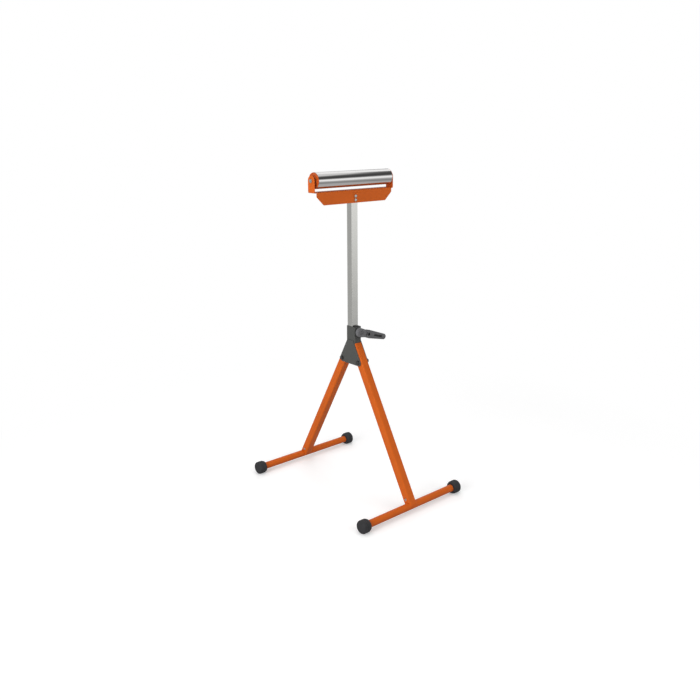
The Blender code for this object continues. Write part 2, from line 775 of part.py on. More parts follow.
def pivot_bolt(label, sign):
    """Hex bolt along X through both gussets and the leg, with its lock nut."""
    centre = (sign * PIVOT_Y, PIVOT_Z)
    seat = PLATE_OUT + FIT
    outline = hexagon(PIVOT_FLATS, centre, PIVOT_CLOCK)
    bolt = prism("pivot_bolt_" + label, "X", outline, -seat - PIVOT_HEAD, -seat)
    bevel(bolt, 0.7)
    ends = -seat - PIVOT_HEAD / 2, seat + PIVOT_NUT + PIVOT_TAIL
    boolean(bolt, rod("tool_shank_" + label, "X", PIVOT_R, *ends, centre), "UNION")
    finish_look(bolt, "black")
    nut = prism("pivot_nut_" + label, "X", outline, seat, seat + PIVOT_NUT)
    bevel(nut, 0.7)
    ends = seat - OVER, seat + PIVOT_NUT + OVER
    cut(nut, rod("tool_pivot_nut_" + label, "X", PIVOT_R + FIT, *ends, centre))
    finish_look(nut, "black")


# Legs and feet


def leg_matrix(sign):
    """Leg frame: local -Z runs down the leg from the pivot, local +Y faces the rear."""
    return shift(0.0, sign * PIVOT_Y, PIVOT_Z) @ turn(sign * LEG_TILT, "X")


def leg_tube(label, sign):
    """Square tube, cut upright where it stops on the sleeve and coped where it sits on the bar."""
    local = leg_matrix(sign)
    wide, deep = LEG_X - 2 * LEG_WALL, LEG_SIDE - 2 * LEG_WALL
    outline = rounded(LEG_X, LEG_SIDE, LEG_CORNER)
    hollow = rounded(wide, deep, LEG_CORNER - LEG_WALL + 0.2)
    top = (LEG_ABOVE + LEG_SIDE) / math.cos(LEG_TILT)
    tube = prism(f"{label}_leg_tube", "Z", outline, -LEG_LONG, top, hollow)
    place(tube, local)
    face = sign * (SLEEVE_Y / 2 + FIT)
    past = -sign * (SLEEVE_Y + LEG_SIDE)
    front, rear = sorted((face, past))
    low, high = (-LEG_X, front, PIVOT_Z - LEG_SIDE), (LEG_X, rear, PIVOT_Z + 2 * top)
    cut(tube, box(f"tool_{label}_stop", low, high))
    low, high = (-LEG_X, -LEG_SPREAD, PIVOT_Z + LEG_ABOVE), (LEG_X, LEG_SPREAD, PIVOT_Z + 2 * top)
    cut(tube, box(f"tool_{label}_tip", low, high))
    cope(tube, label, sign)
    pivot = (sign * PIVOT_Y, PIVOT_Z)
    cut(tube, rod(f"tool_{label}_pivot", "X", PIVOT_R + BOLT_SLACK, -LEG_X, LEG_X, pivot))
    spot = local @ Vector((0.0, 0.0, -(LEG_LONG - FOOT_SCREW_UP) * MM))
    spot = (spot.y / MM, spot.z / MM)
    cut(tube, rod(f"tool_{label}_screw", "X", FOOT_SCREW_R + FIT, -LEG_X, 0, spot, 16))
    set_origin(tube, (0, *pivot))
    finish_look(tube, "orange")
    leg_insert(label, sign, local, spot)
    foot_screw(label, spot)


def cope(target, label, sign):
    """Cuts the round of the foot bar out of a leg's lower end."""
    bar = (sign * LEG_SPREAD, BAR_HEIGHT)
    name = f"tool_cope_{target.name}_{label}"
    cut(target, rod(name, "X", BAR_R + FIT, -LEG_X, LEG_X, bar, 28))


def leg_insert(label, sign, local, spot):
    """Block inside the leg's lower end, standing on the bar, with a hole for the screw."""
    wide = LEG_X - 2 * LEG_WALL - 2 * FIT
    deep = LEG_SIDE - 2 * LEG_WALL - 2 * FIT
    low = -LEG_LONG + BAR_R / 3
    high = -LEG_LONG + BAR_R + INSERT_LONG
    block = prism(f"{label}_leg_insert", "Z", rounded(wide, deep, LEG_CORNER / 2), low, high)
    place(block, local)
    cope(block, label, sign)
    ends = -LEG_X, FOOT_SCREW_TIP + OVER / 10
    cut(block, rod(f"tool_{label}_insert_hole", "X", FOOT_SCREW_R + FIT, *ends, spot, 16))
    finish_look(block, "plastic")


def foot_screw(label, spot):
    """Pan-head screw through the leg's wall into the block."""
    seat = -LEG_X / 2 - FIT
    profile = [
        (seat - FOOT_HEAD, 0.0),
        (seat - FOOT_HEAD, FOOT_HEAD_R * 0.45),
        (seat - FOOT_HEAD * 0.75, FOOT_HEAD_R * 0.82),
        (seat - FOOT_HEAD * 0.3, FOOT_HEAD_R),
        (seat, FOOT_HEAD_R),
        (seat, FOOT_SCREW_R),
        (FOOT_SCREW_TIP - 1.0, FOOT_SCREW_R),
        (FOOT_SCREW_TIP, FOOT_SCREW_R - 1.0),
        (FOOT_SCREW_TIP, 0.0),
    ]
    screw = revolve(f"{label}_foot_screw", "X", profile, 16, spot)
    finish_look(screw, "zinc")


def pivot_spacer(label, sign):
    """Tube round the pivot bolt that keeps the leg's walls apart."""
    half = LEG_X / 2 - LEG_WALL - FIT
    bore = PIVOT_R + BOLT_SLACK
    profile = [(-half, bore), (-half, PIVOT_SPACER_R), (half, PIVOT_SPACER_R), (half, bore)]
    tube = revolve(f"{label}_pivot_spacer", "X", profile, 24, (sign * PIVOT_Y, PIVOT_Z))
    finish_look(tube, "zinc")


def foot_bar(label, sign):
    """Round tube that stands across under the leg."""
    inner = BAR_R - BAR_WALL
    profile = [(-BAR_HALF, inner), (-BAR_HALF, BAR_R), (BAR_HALF, BAR_R), (BAR_HALF, inner)]
    tube = revolve(f"{label}_foot_bar", "X", profile, 36, (sign * LEG_SPREAD, BAR_HEIGHT))
    finish_look(tube, "orange")


def foot_cap(label, sign, place_name, side):
    """Thick rubber cap pushed over a bar's end, with a flat tread moulded below."""
    floor = BAR_HALF + FIT
    end = floor + CAP_WALL
    start = end - CAP_LENGTH
    bore = BAR_R + FIT
    mouth = bore + CAP_MOUTH_WALL
    profile = [
        (start, bore),
        (start, mouth),
        (start + CAP_NECK * 0.4, (mouth + 2 * CAP_R) / 3),
        (start + CAP_NECK, CAP_R),
        (end - CAP_DOME, CAP_R),
        (end - CAP_DOME * 0.45, CAP_R - CAP_DOME * 0.23),
        (end - CAP_DOME * 0.1, CAP_R - CAP_DOME * 0.7),
        (end, CAP_R - CAP_DOME * 1.28),
        (end, 0.0),
        (floor, 0.0),
        (floor, bore),
    ]
    profile = [(side * x, radius) for x, radius in profile]
    middle = sign * LEG_SPREAD
    cap = revolve(f"{label}_foot_cap_{place_name}", "X", profile, 28, (middle, BAR_HEIGHT))
    near, far = sorted((side * (start - OVER), side * (end + OVER)))
    low = (near, middle - CAP_R - OVER, -OVER - CAP_R)
    cut(cap, box(f"tool_{label}_tread_{place_name}", low, (far, middle + CAP_R + OVER, 0.0)))
    finish_look(cap, "rubber")


# Clamp


def clamp_shoe():
    """Block between the screw and the mast, with a socket for the screw's tip."""
    outline = rounded(2 * SHOE_HALF, SHOE_HIGH, SHOE_CORNER, 3, (0.0, CLAMP_Z))
    back = SHOE_FACE - SHOE_THICK
    shoe = prism("clamp_shoe", "Y", outline, back, SHOE_FACE)
    ends = back - OVER, back + SHOE_SOCKET
    cut(shoe, rod("tool_shoe_socket", "Y", CLAMP_R + FIT, *ends, (0.0, CLAMP_Z)))
    set_origin(shoe, (0, SHOE_FACE, CLAMP_Z))
    finish_look(shoe, "plastic")


def clamp_screw():
    """Screw from the shoe's socket through the boss into the lever's hub."""
    tip = SHOE_FACE - SHOE_THICK + SHOE_SOCKET - FIT
    tail = HUB_FRONT + HUB_SKIN + FIT
    profile = [
        (tip, 0.0),
        (tip, CLAMP_R - SCREW_EDGE),
        (tip - SCREW_EDGE, CLAMP_R),
        (tail, CLAMP_R),
        (tail, 0.0),
    ]
    screw = revolve("clamp_screw", "Y", profile, 24, (0.0, CLAMP_Z))
    set_origin(screw, (0, HUB_BACK, CLAMP_Z))
    finish_look(screw, "zinc")


def hang_lever(piece):
    """Turns a piece modelled with its arm along +X, and its cutters, to the arm's drooping rest."""
    frame = shift(0.0, 0.0, CLAMP_Z) @ turn(LEVER_DROOP, "Y")
    place(piece, frame)
    for modifier in piece.modifiers:
        if modifier.type == "BOOLEAN":
            place(modifier.object, frame)
    set_origin(piece, (0, HUB_BACK, CLAMP_Z))


def core_bar(name, spare):
    """Flat bar inside the grip; spare widens it for the grip's own hollow."""
    start, end = GRIP_START - CORE_ROOT, LEVER_LONG - CORE_SHORT
    middle = ((start + end) / 2, 0.0)
    outline = rounded(end - start + 2 * spare, 2 * (CORE_HALF + spare), CORE_HALF / 2 + spare, 3, middle)
    half = CORE_THICK / 2 + spare
    return prism(name, "Y", outline, LEVER_MIDDLE - half, LEVER_MIDDLE + half)


def lever_arm():
    """Hub, neck and the flat core that the grip covers."""
    tangent = math.acos((HUB_R - NECK_HALF) / GRIP_START)
    outline = []
    for k in range(HUB_STEPS + 1):
        angle = tangent + (2 * math.pi - 2 * tangent) * k / HUB_STEPS
        outline.append((HUB_R * math.cos(angle), HUB_R * math.sin(angle)))
    neck_end = GRIP_START - NECK_HALF * 0.6
    outline += [(neck_end, -NECK_HALF), (GRIP_START, -NECK_HALF * 0.88)]
    outline += [(GRIP_START, NECK_HALF * 0.88), (neck_end, NECK_HALF)]
    arm = prism("lever_arm", "Y", outline, HUB_FRONT, HUB_BACK)
    near, far = HUB_R + NECK_SETBACK, GRIP_START + OVER
    low, high = (near, HUB_FRONT - OVER, -2 * HUB_R), (far, HUB_FRONT + NECK_STEP, 2 * HUB_R)
    cut(arm, box("tool_neck_front", low, high))
    low, high = (near, HUB_BACK - NECK_STEP, -2 * HUB_R), (far, HUB_BACK + OVER, 2 * HUB_R)
    cut(arm, box("tool_neck_rear", low, high))
    boolean(arm, core_bar("tool_core", 0.0), "UNION")
    middle = (0.0, 0.0)
    ends = HUB_FRONT + HUB_SKIN, HUB_BACK + OVER
    cut(arm, rod("tool_hub_bore", "Y", CLAMP_R + FIT, *ends, middle))
    ends = HUB_FRONT - OVER, HUB_FRONT + DISH_DEEP
    cut(arm, rod("tool_hub_dish", "Y", DISH_R, *ends, middle, 28))
    hang_lever(arm)
    finish_look(arm, "grey")


def lever_grip():
    """Tapered plastic grip over the core, with an eye at its root and a long finger groove."""
    nose = LEVER_LONG - GRIP_END_HALF
    start = GRIP_START + FIT
    upper = [(nose, GRIP_END_HALF), (start + GRIP_HALF, GRIP_HALF + 0.2), (start, GRIP_HALF - 0.6)]
    outline = [(x, -z) for x, z in reversed(upper)]
    for k in range(1, NOSE_STEPS):
        angle = math.pi * (k / NOSE_STEPS - 0.5)
        outline.append((nose + GRIP_END_HALF * math.cos(angle), GRIP_END_HALF * math.sin(angle)))
    outline += upper
    front, rear = LEVER_MIDDLE - GRIP_THICK / 2, LEVER_MIDDLE + GRIP_THICK / 2
    grip = prism("lever_grip", "Y", outline, front, rear)
    bevel(grip, GRIP_EDGE, 3, 50)
    cut(grip, core_bar("tool_grip_core", FIT))
    eye = (start + EYE_IN, 0.0)
    cut(grip, rod("tool_grip_eye", "Y", EYE_R, front - OVER, front + EYE_DEEP, eye, 20))
    middle = ((start + GROOVE_IN + nose) / 2, 0.0)
    slot = rounded(GROOVE_LONG, 2 * GROOVE_HALF, GROOVE_HALF - 0.1, 4, middle)
    cut(grip, prism("tool_grip_groove", "Y", slot, front - OVER, front + GROOVE_DEEP))
    hang_lever(grip)
    finish_look(grip, "plastic")


def lever_button():
    """Domed cover in the hub's front dish."""
    seat = HUB_FRONT + DISH_DEEP - FIT
    radius = DISH_R - FIT
    profile = [
        (seat, 0.0),
        (seat, radius),
        (seat - BUTTON_HIGH * 0.46, radius),
        (seat - BUTTON_HIGH * 0.8, radius * 0.82),
        (seat - BUTTON_HIGH * 0.97, radius * 0.45),
        (seat - BUTTON_HIGH, 0.0),
    ]
    button = revolve("lever_button", "Y", profile, 24, (0.0, CLAMP_Z))
    set_origin(button, (0, HUB_BACK, CLAMP_Z))
    finish_look(button, "black")


def carry(name, point, words):
    """Hangs every piece whose name starts with one of the words on an empty at a joint's axis."""
    empty = bpy.data.objects.new(name, None)
    empty.location = Vector(point) * MM
    empty.empty_display_size = 0.03
    bpy.context.scene.collection.objects.link(empty)
    for piece in list(bpy.data.objects):
        if piece.type != "MESH" or piece.hide_render or not piece.name.startswith(words):
            continue
        cutters = [m.object for m in piece.modifiers if m.type == "BOOLEAN"]
        for obj in [piece, *cutters]:
            obj.parent = empty
            obj.matrix_parent_inverse = Matrix.Translation(-empty.location)


def group_bodies():
    """Groups the pieces that move together, each group on its own joint's axis."""
    mast_words = ("mast_", "head_", "roller_axle", "axle_", "bearing_inner")
    carry("mast_group", (0, MAST_Y, SLEEVE_TOP), mast_words)
    roller_words = ("roller_tube", "end_plug", "bearing_outer", "bearing_balls")
    carry("roller_group", (0, MAST_Y, ROLLER_HEIGHT), roller_words)
    for sign, label in SIDES_Y:
        carry(label + "_leg_group", (0, sign * PIVOT_Y, PIVOT_Z), (label + "_",))
    carry("shoe_group", (0, SHOE_FACE, CLAMP_Z), ("clamp_shoe",))
    carry("lever_group", (0, HUB_BACK, CLAMP_Z), ("clamp_screw", "lever_"))


def build():
    """Builds every piece, then groups the moving ones."""
    clear_scene()
    roller_tube()
    axle()
    for side, label in SIDES_X:
        end_plug(label, side)
        bearing(label, side)
        axle_spacer(label, side)
        gusset(label, side)
    head_bracket()
    mast_column()
    mast_foot()
    for number, height in enumerate(HEAD_BOLT_Z, 1):
        head_bolt(number, height)
    clamp_sleeve()
    clamp_boss()
    clamp_shoe()
    clamp_screw()
    lever_arm()
    lever_grip()
    lever_button()
    for sign, label in SIDES_Y:
        pivot_bolt(label, sign)
        pivot_spacer(label, sign)
        leg_tube(label, sign)
        foot_bar(label, sign)
        for side, place_name in SIDES_X:
            foot_cap(label, sign, place_name, side)
    group_bodies()


build()
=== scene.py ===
"""Looks of a folding roller stand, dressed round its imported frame.

Every form is worked in millimetres in the frame's own axes: the floor is z = 0, +X runs along the
roller and the foot bars, and +Y points to the rear leg. Sizes that a solid already has are read from
the frame, so each form lies where its solid does.
"""

import logging
import math
from collections.abc import Callable, Iterable, Sequence
from dataclasses import dataclass, replace
from enum import Enum

import bmesh
import bpy
from mathutils import Matrix, Vector

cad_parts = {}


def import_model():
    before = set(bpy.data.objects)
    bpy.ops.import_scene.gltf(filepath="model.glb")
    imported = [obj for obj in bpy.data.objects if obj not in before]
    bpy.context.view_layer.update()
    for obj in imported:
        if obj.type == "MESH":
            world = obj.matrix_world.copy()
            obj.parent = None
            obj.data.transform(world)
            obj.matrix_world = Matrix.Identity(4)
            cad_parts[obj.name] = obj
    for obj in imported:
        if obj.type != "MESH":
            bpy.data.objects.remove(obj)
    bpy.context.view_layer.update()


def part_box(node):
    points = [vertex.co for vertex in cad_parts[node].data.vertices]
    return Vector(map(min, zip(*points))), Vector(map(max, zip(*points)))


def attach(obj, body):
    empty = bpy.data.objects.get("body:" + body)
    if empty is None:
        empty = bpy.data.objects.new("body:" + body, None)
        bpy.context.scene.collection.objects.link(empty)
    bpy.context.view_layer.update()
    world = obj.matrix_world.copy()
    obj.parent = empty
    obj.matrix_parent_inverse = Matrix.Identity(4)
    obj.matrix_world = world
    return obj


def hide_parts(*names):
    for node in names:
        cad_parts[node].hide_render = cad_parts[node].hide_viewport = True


MM = 0.001
LOG = logging.getLogger("roller_stand")
FULL_TURN = 2 * math.pi
FIT = 0.3  # space that touching solids keep in the frame
OVER = 1.0  # how far a cutter runs past the face that it cuts
WHITE = (1.0, 1.0, 1.0, 1.0)

Colour = tuple[float, float, float]
Point = Sequence[float]
Flat = tuple[float, float]
Outline = list[Flat]


class Axis(Enum):
    """Direction that a turned or extruded form runs along."""

    X = 0
    Y = 1
    Z = 2

    @property
    def unit(self) -> Vector:
        """Unit vector along the axis."""
        return Vector([1.0 if i == self.value else 0.0 for i in range(3)])

    def at(self, along: float, across: float, other: float) -> Vector:
        """Point from its distance along the axis and its two places across it, in X, Y, Z order.

        Args:
            along: distance along the axis.
            across: place along the first of the other two directions.
            other: place along the second of them.

        Returns:
            The point.
        """
        order = [across, other]
        order.insert(self.value, along)
        return Vector(order)


@dataclass(frozen=True)
class Span:
    """The box that a solid fills at rest, in millimetres."""

    low: Vector
    high: Vector

    @classmethod
    def of(cls, node: str) -> "Span":
        """Reads the box of a node from the frame."""
        low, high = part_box(node)
        return cls(Vector(low) / MM, Vector(high) / MM)

    @property
    def middle(self) -> Vector:
        """Centre of the box."""
        return (self.low + self.high) / 2

    @property
    def size(self) -> Vector:
        """Length of each side."""
        return self.high - self.low


class Socket:
    """A shader socket that takes part in Python sums, each of which adds a Math node."""

    def __init__(self, graph: "Graph", link: bpy.types.NodeSocket) -> None:
        """Wraps one output socket of a graph."""
        self.graph = graph
        self.link = link

    def _math(self, operation: str, first: "Value", second: "Value") -> "Socket":
        """Adds the Math node of one operation."""
        return self.graph.node("ShaderNodeMath", {"operation": operation}, {0: first, 1: second})

    def __add__(self, other: "Value") -> "Socket":
        """Sum."""
        return self._math("ADD", self, other)

    def __radd__(self, other: "Value") -> "Socket":
        """Sum with a number on the left."""
        return self._math("ADD", other, self)

    def __sub__(self, other: "Value") -> "Socket":
        """Difference."""
        return self._math("SUBTRACT", self, other)

    def __rsub__(self, other: "Value") -> "Socket":
        """Difference with a number on the left."""
        return self._math("SUBTRACT", other, self)

    def __mul__(self, other: "Value") -> "Socket":
        """Product."""
        return self._math("MULTIPLY", self, other)

    def __rmul__(self, other: "Value") -> "Socket":
        """Product with a number on the left."""
        return self._math("MULTIPLY", other, self)

    def step(self, low: float, high: float) -> "Socket":
        """Smooth rise from 0 at low to 1 at high."""
        settings = {"interpolation_type": "SMOOTHSTEP"}
        return self.graph.node("ShaderNodeMapRange", settings, {"Value": self, 1: low, 2: high})


Value = Socket | float | Sequence[float]


class Graph:
    """The node tree of one material or of the world."""

    def __init__(self, tree: bpy.types.NodeTree) -> None:
        """Empties a tree so that it can be drawn afresh."""
        self.tree = tree
        tree.nodes.clear()

    def node(
        self,
        kind: str,
        settings: dict[str, object] | None = None,
        inputs: dict[str | int, Value] | None = None,
        output: str | int = 0,
    ) -> Socket:
        """Adds any node.

        Args:
            kind: Blender's name for the type of node.
            settings: properties that are set before the sockets are.
            inputs: a value or a link for each input socket, by name or number.
            output: the output socket to hand back.

        Returns:
            The chosen output, ready for sums.
        """
        made = self.tree.nodes.new(kind)
        for key, value in (settings or {}).items():
            if key == "stops":
                self.set_stops(made.color_ramp, value)
            else:
                setattr(made, key, value)
        for key, value in (inputs or {}).items():
            if isinstance(value, Socket):
                self.tree.links.new(value.link, made.inputs[key])
            else:
                made.inputs[key].default_value = value
        return Socket(self, made.outputs[output]) if len(made.outputs) else Socket(self, None)

    def set_stops(self, ramp: bpy.types.ColorRamp, stops: Sequence[Flat]) -> None:
        """Gives a ramp its (position, grey) stops.

        Args:
            ramp: the ramp.
            stops: a position and a grey for each stop.
        """
        while len(ramp.elements) > 1:
            ramp.elements.remove(ramp.elements[-1])
        for k, (position, grey) in enumerate(stops):
            stop = ramp.elements[0] if k == 0 else ramp.elements.new(position)
            stop.position = position
            stop.color = (grey, grey, grey, 1.0)

    def place(self, scale: Point = (1.0, 1.0, 1.0)) -> Socket:
        """Object coordinates in metres, stretched by a scale along each axis."""
        where = self.node("ShaderNodeTexCoord", output="Object")
        return self.node("ShaderNodeMapping", None, {"Vector": where, "Scale": scale})

    def noise(self, where: Socket, scale: float, detail: float = 2.0, roughness: float = 0.5) -> Socket:
        """Soft random pattern from 0 to 1."""
        inputs = {"Vector": where, "Scale": scale, "Detail": detail, "Roughness": roughness}
        return self.node("ShaderNodeTexNoise", None, inputs)

    def cells(self, where: Socket, scale: float) -> Socket:
        """Distance to the middle of each cell of a random pattern."""
        return self.node("ShaderNodeTexVoronoi", None, {"Vector": where, "Scale": scale})

    def split(self, where: Socket) -> tuple[Socket, Socket, Socket]:
        """The three parts of a vector, each ready for sums."""
        parts = self.node("ShaderNodeSeparateXYZ", None, {0: where}).link.node.outputs
        return Socket(self, parts[0]), Socket(self, parts[1]), Socket(self, parts[2])

    def blend(self, amount: Value, first: Socket | Colour, second: Socket | Colour) -> Socket:
        """Mix of two colours, each of them fixed or a link.

        Args:
            amount: 0 for the first colour, 1 for the second.
            first: the first colour.
            second: the second colour.

        Returns:
            The mixed colour.
        """
        ends = [end if isinstance(end, Socket) else (*end, 1.0) for end in (first, second)]
        inputs = {0: amount, 6: ends[0], 7: ends[1]}
        return self.node("ShaderNodeMix", {"data_type": "RGBA"}, inputs, 2)

    def bump(self, height: Socket, depth_mm: float, strength: float = 1.0) -> Socket:
        """Surface normal of a height from 0 to 1 over a depth in millimetres."""
        inputs = {"Height": height, "Distance": depth_mm * MM, "Strength": strength}
        return self.node("ShaderNodeBump", None, inputs)

    def surface(self, inputs: dict[str | int, Value]) -> None:
        """Ends a material in a Principled shader."""
        shader = self.node("ShaderNodeBsdfPrincipled", None, inputs)
        self.node("ShaderNodeOutputMaterial", None, {"Surface": shader})


def shade(colour: Colour, factor: float) -> Colour:
    """The colour made darker or lighter by a factor."""
    return tuple(min(1.0, part * factor) for part in colour)


@dataclass(frozen=True)
class Finish:
    """A finish by its name and its slot in the record; kinds of finish add how it is drawn."""

    name: str
    slot: str

    def draw(self, graph: Graph) -> None:
        """Draws the finish on a material's graph."""
        raise NotImplementedError

    def material(self) -> bpy.types.Material:
        """Makes the material once and hands back the same one after that.

        Returns:
            The material.
        """
        found = bpy.data.materials.get(self.name)
        if found is None:
            found = bpy.data.materials.new(self.name)
            found.use_nodes = True
            self.draw(Graph(found.node_tree))
        return found


@dataclass(frozen=True)
class PowderCoat(Finish):
    """Baked powder paint: an even colour with a fine orange-peel skin and a low gloss."""

    colour: Colour
    roughness: float = 0.4
    peel_mm: float = 0.035
    specular: float = 0.2
    dark: float = 0.93
    light: float = 1.07

    def draw(self, graph: Graph) -> None:
        """Draws the paint.

        Args:
            graph: the material's graph.
        """
        where = graph.place()
        cloud = graph.noise(where, 14.0, 3.0)
        speck = graph.noise(where, 2600.0, 1.0)
        peel = graph.noise(where, 520.0, 2.0, 0.55)
        tone = cloud * 0.55 + speck * 0.45
        ends = shade(self.colour, self.dark), shade(self.colour, self.light)
        graph.surface(
            {
                "Base Color": graph.blend(tone.step(0.3, 0.7), *ends),
                "Roughness": self.roughness - 0.05 + cloud * 0.06 + speck * 0.06,
                "Normal": graph.bump(peel, self.peel_mm, 0.7),
                "Specular IOR Level": self.specular,
            }
        )


@dataclass(frozen=True)
class BrightPlate(Finish):
    """Chrome plate over a turned or drawn surface, with hairlines that run one way."""

    colour: Colour
    grain: tuple[float, float, float]
    roughness: float
    spread: float
    line_mm: float
    dark: float = 0.95
    light: float = 1.04

    def draw(self, graph: Graph) -> None:
        """Draws the plate.

        Args:
            graph: the material's graph.
        """
        lines = graph.noise(graph.place(self.grain), 1.0, 3.0, 0.6)
        smear = graph.noise(graph.place(), 22.0, 3.0)
        tone = (lines * 0.6 + smear * 0.4).step(0.25, 0.75)
        ends = shade(self.colour, self.dark), shade(self.colour, self.light)
        graph.surface(
            {
                "Base Color": graph.blend(tone, *ends),
                "Metallic": 1.0,
                "Roughness": self.roughness + self.spread * (smear.step(0.35, 0.7) * 0.6 + lines * 0.4),
                "Normal": graph.bump(lines, self.line_mm, 0.5),
            }
        )


@dataclass(frozen=True)
class ZincPlate(Finish):
    """Plated or blackened steel of fasteners, faintly mottled."""

    colour: Colour
    second: Colour
    roughness: float

    def draw(self, graph: Graph) -> None:
        """Draws the plating.

        Args:
            graph: the material's graph.
        """
        where = graph.place()
        mottle = graph.cells(where, 900.0)
        cloud = graph.noise(where, 260.0, 3.0)
        mask = (mottle * 0.5 + cloud * 0.5).step(0.2, 0.7)
        graph.surface(
            {
                "Base Color": graph.blend(mask, self.colour, self.second),
                "Metallic": 1.0,
                "Roughness": self.roughness + cloud * 0.16,
                "Normal": graph.bump(graph.noise(where, 1900.0, 2.0), 0.012, 0.6),
            }
        )


@dataclass(frozen=True)
class Recess:
    """Where painted shade darkens a moulding's sunk parts: a band along a lever that hangs at a slant,
    behind its face.
    """

    pivot: Flat
    droop: float
    half: float
    face: float
    skin: float = 0.2
    deep: float = 6.0
    blur: float = 0.5

    def mask(self, graph: Graph) -> Socket:
        """Where the painted shade goes: 1 inside the recess and 0 elsewhere, with blurred bounds.

        Args:
            graph: the material's graph.

        Returns:
            The mask.
        """
        x, y, z = graph.split(graph.place((1 / MM, 1 / MM, 1 / MM)))
        across = (x - self.pivot[0]) * math.sin(self.droop) + (z - self.pivot[1]) * math.cos(self.droop)
        offset = graph.node("ShaderNodeMath", {"operation": "ABSOLUTE"}, {0: across})
        inside = 1.0 - offset.step(self.half, self.half + self.blur)
        begin, end = self.face + self.skin, self.face + self.deep
        return inside * (y.step(begin, begin + self.blur) * (1.0 - y.step(end, end + 2 * self.blur)))


@dataclass(frozen=True)
class Moulding(Finish):
    """Moulded plastic or rubber with a spark-eroded grain; bloom is the pale film on rubber; a recess gets
    painted shade.
    """

    colour: Colour
    roughness: float
    grain_mm: float = 0.03
    bloom: float = 0.0
    recess: Recess | None = None
    dark: float = 0.92
    light: float = 1.16
    recess_painted_shade: float = 0.12

    def draw(self, graph: Graph) -> None:
        """Draws the moulding.

        Args:
            graph: the material's graph.
        """
        where = graph.place()
        grain = graph.noise(where, 1500.0, 2.0, 0.6)
        cloud = graph.noise(where, 45.0, 4.0, 0.6)
        ends = shade(self.colour, self.dark), shade(self.colour, self.light + 2.0 * self.bloom)
        mask = (cloud * 0.7 + grain * 0.3).step(0.35, 0.75)
        colour = graph.blend(mask, *ends)
        # Painted shade: the base colour is darkened inside the sunk eye and groove.
        if self.recess:
            colour = graph.blend(self.recess.mask(graph), colour, shade(self.colour, self.recess_painted_shade))
        graph.surface(
            {
                "Base Color": colour,
                "Roughness": self.roughness - 0.06 + cloud * 0.12,
                "Normal": graph.bump(grain, self.grain_mm, 0.8),
            }
        )


ORANGE_PAINT = PowderCoat("orange_powder_coat", "orange_paint", (0.6, 0.112, 0.01), 0.42)
GREY_PAINT = PowderCoat("grey_powder_coat", "grey_paint", (0.08, 0.082, 0.078), 0.5)
LEVER_PAINT = PowderCoat("lever_casting_paint", "lever_paint", (0.15, 0.15, 0.156), 0.48, 0.05)
ORANGE_PLASTIC = Moulding("orange_nylon", "orange_plastic", (0.52, 0.09, 0.009), 0.42)
BLACK_PLASTIC = Moulding("black_nylon", "black_plastic", (0.03, 0.03, 0.031), 0.5)
GRIP_PLASTIC = Moulding("grip_moulding", "grip_plastic", (0.105, 0.105, 0.109), 0.5, 0.04)
BUTTON_PLASTIC = Moulding("button_nylon", "black_plastic", (0.1, 0.1, 0.104), 0.5)
CAP_RUBBER = Moulding("foot_rubber", "cap_rubber", (0.026, 0.026, 0.028), 0.68, 0.05, 0.08)
ROLLER_CHROME = BrightPlate(
    "turned_chrome", "roller_chrome", (0.86, 0.85, 0.84), (2400.0, 25.0, 25.0), 0.06, 0.07, 0.0015
)
MAST_CHROME = BrightPlate(
    "drawn_chrome", "mast_chrome", (0.8, 0.8, 0.765), (700.0, 700.0, 5.0), 0.16, 0.1, 0.004
)
ZINC = ZincPlate("bright_zinc", "zinc_plate", (0.84, 0.83, 0.79), (0.7, 0.7, 0.66), 0.2)
BLACK_STEEL = ZincPlate("blackened_steel", "black_steel", (0.13, 0.13, 0.133), (0.18, 0.178, 0.175), 0.42)
RING_STEEL = BrightPlate(
    "ground_ring_steel", "bearing_steel", (0.6, 0.6, 0.6), (1800.0, 60.0, 60.0), 0.16, 0.1, 0.002
)
BALL_BRASS = ZincPlate("ball_cage_brass", "ball_cage", (0.5, 0.37, 0.14), (0.42, 0.3, 0.1), 0.28)


def only(kind: type, geometry: Iterable[object]) -> list:
    """Picks the vertices, or the edges, out of what a bmesh operator hands back."""
    return [item for item in geometry if isinstance(item, kind)]


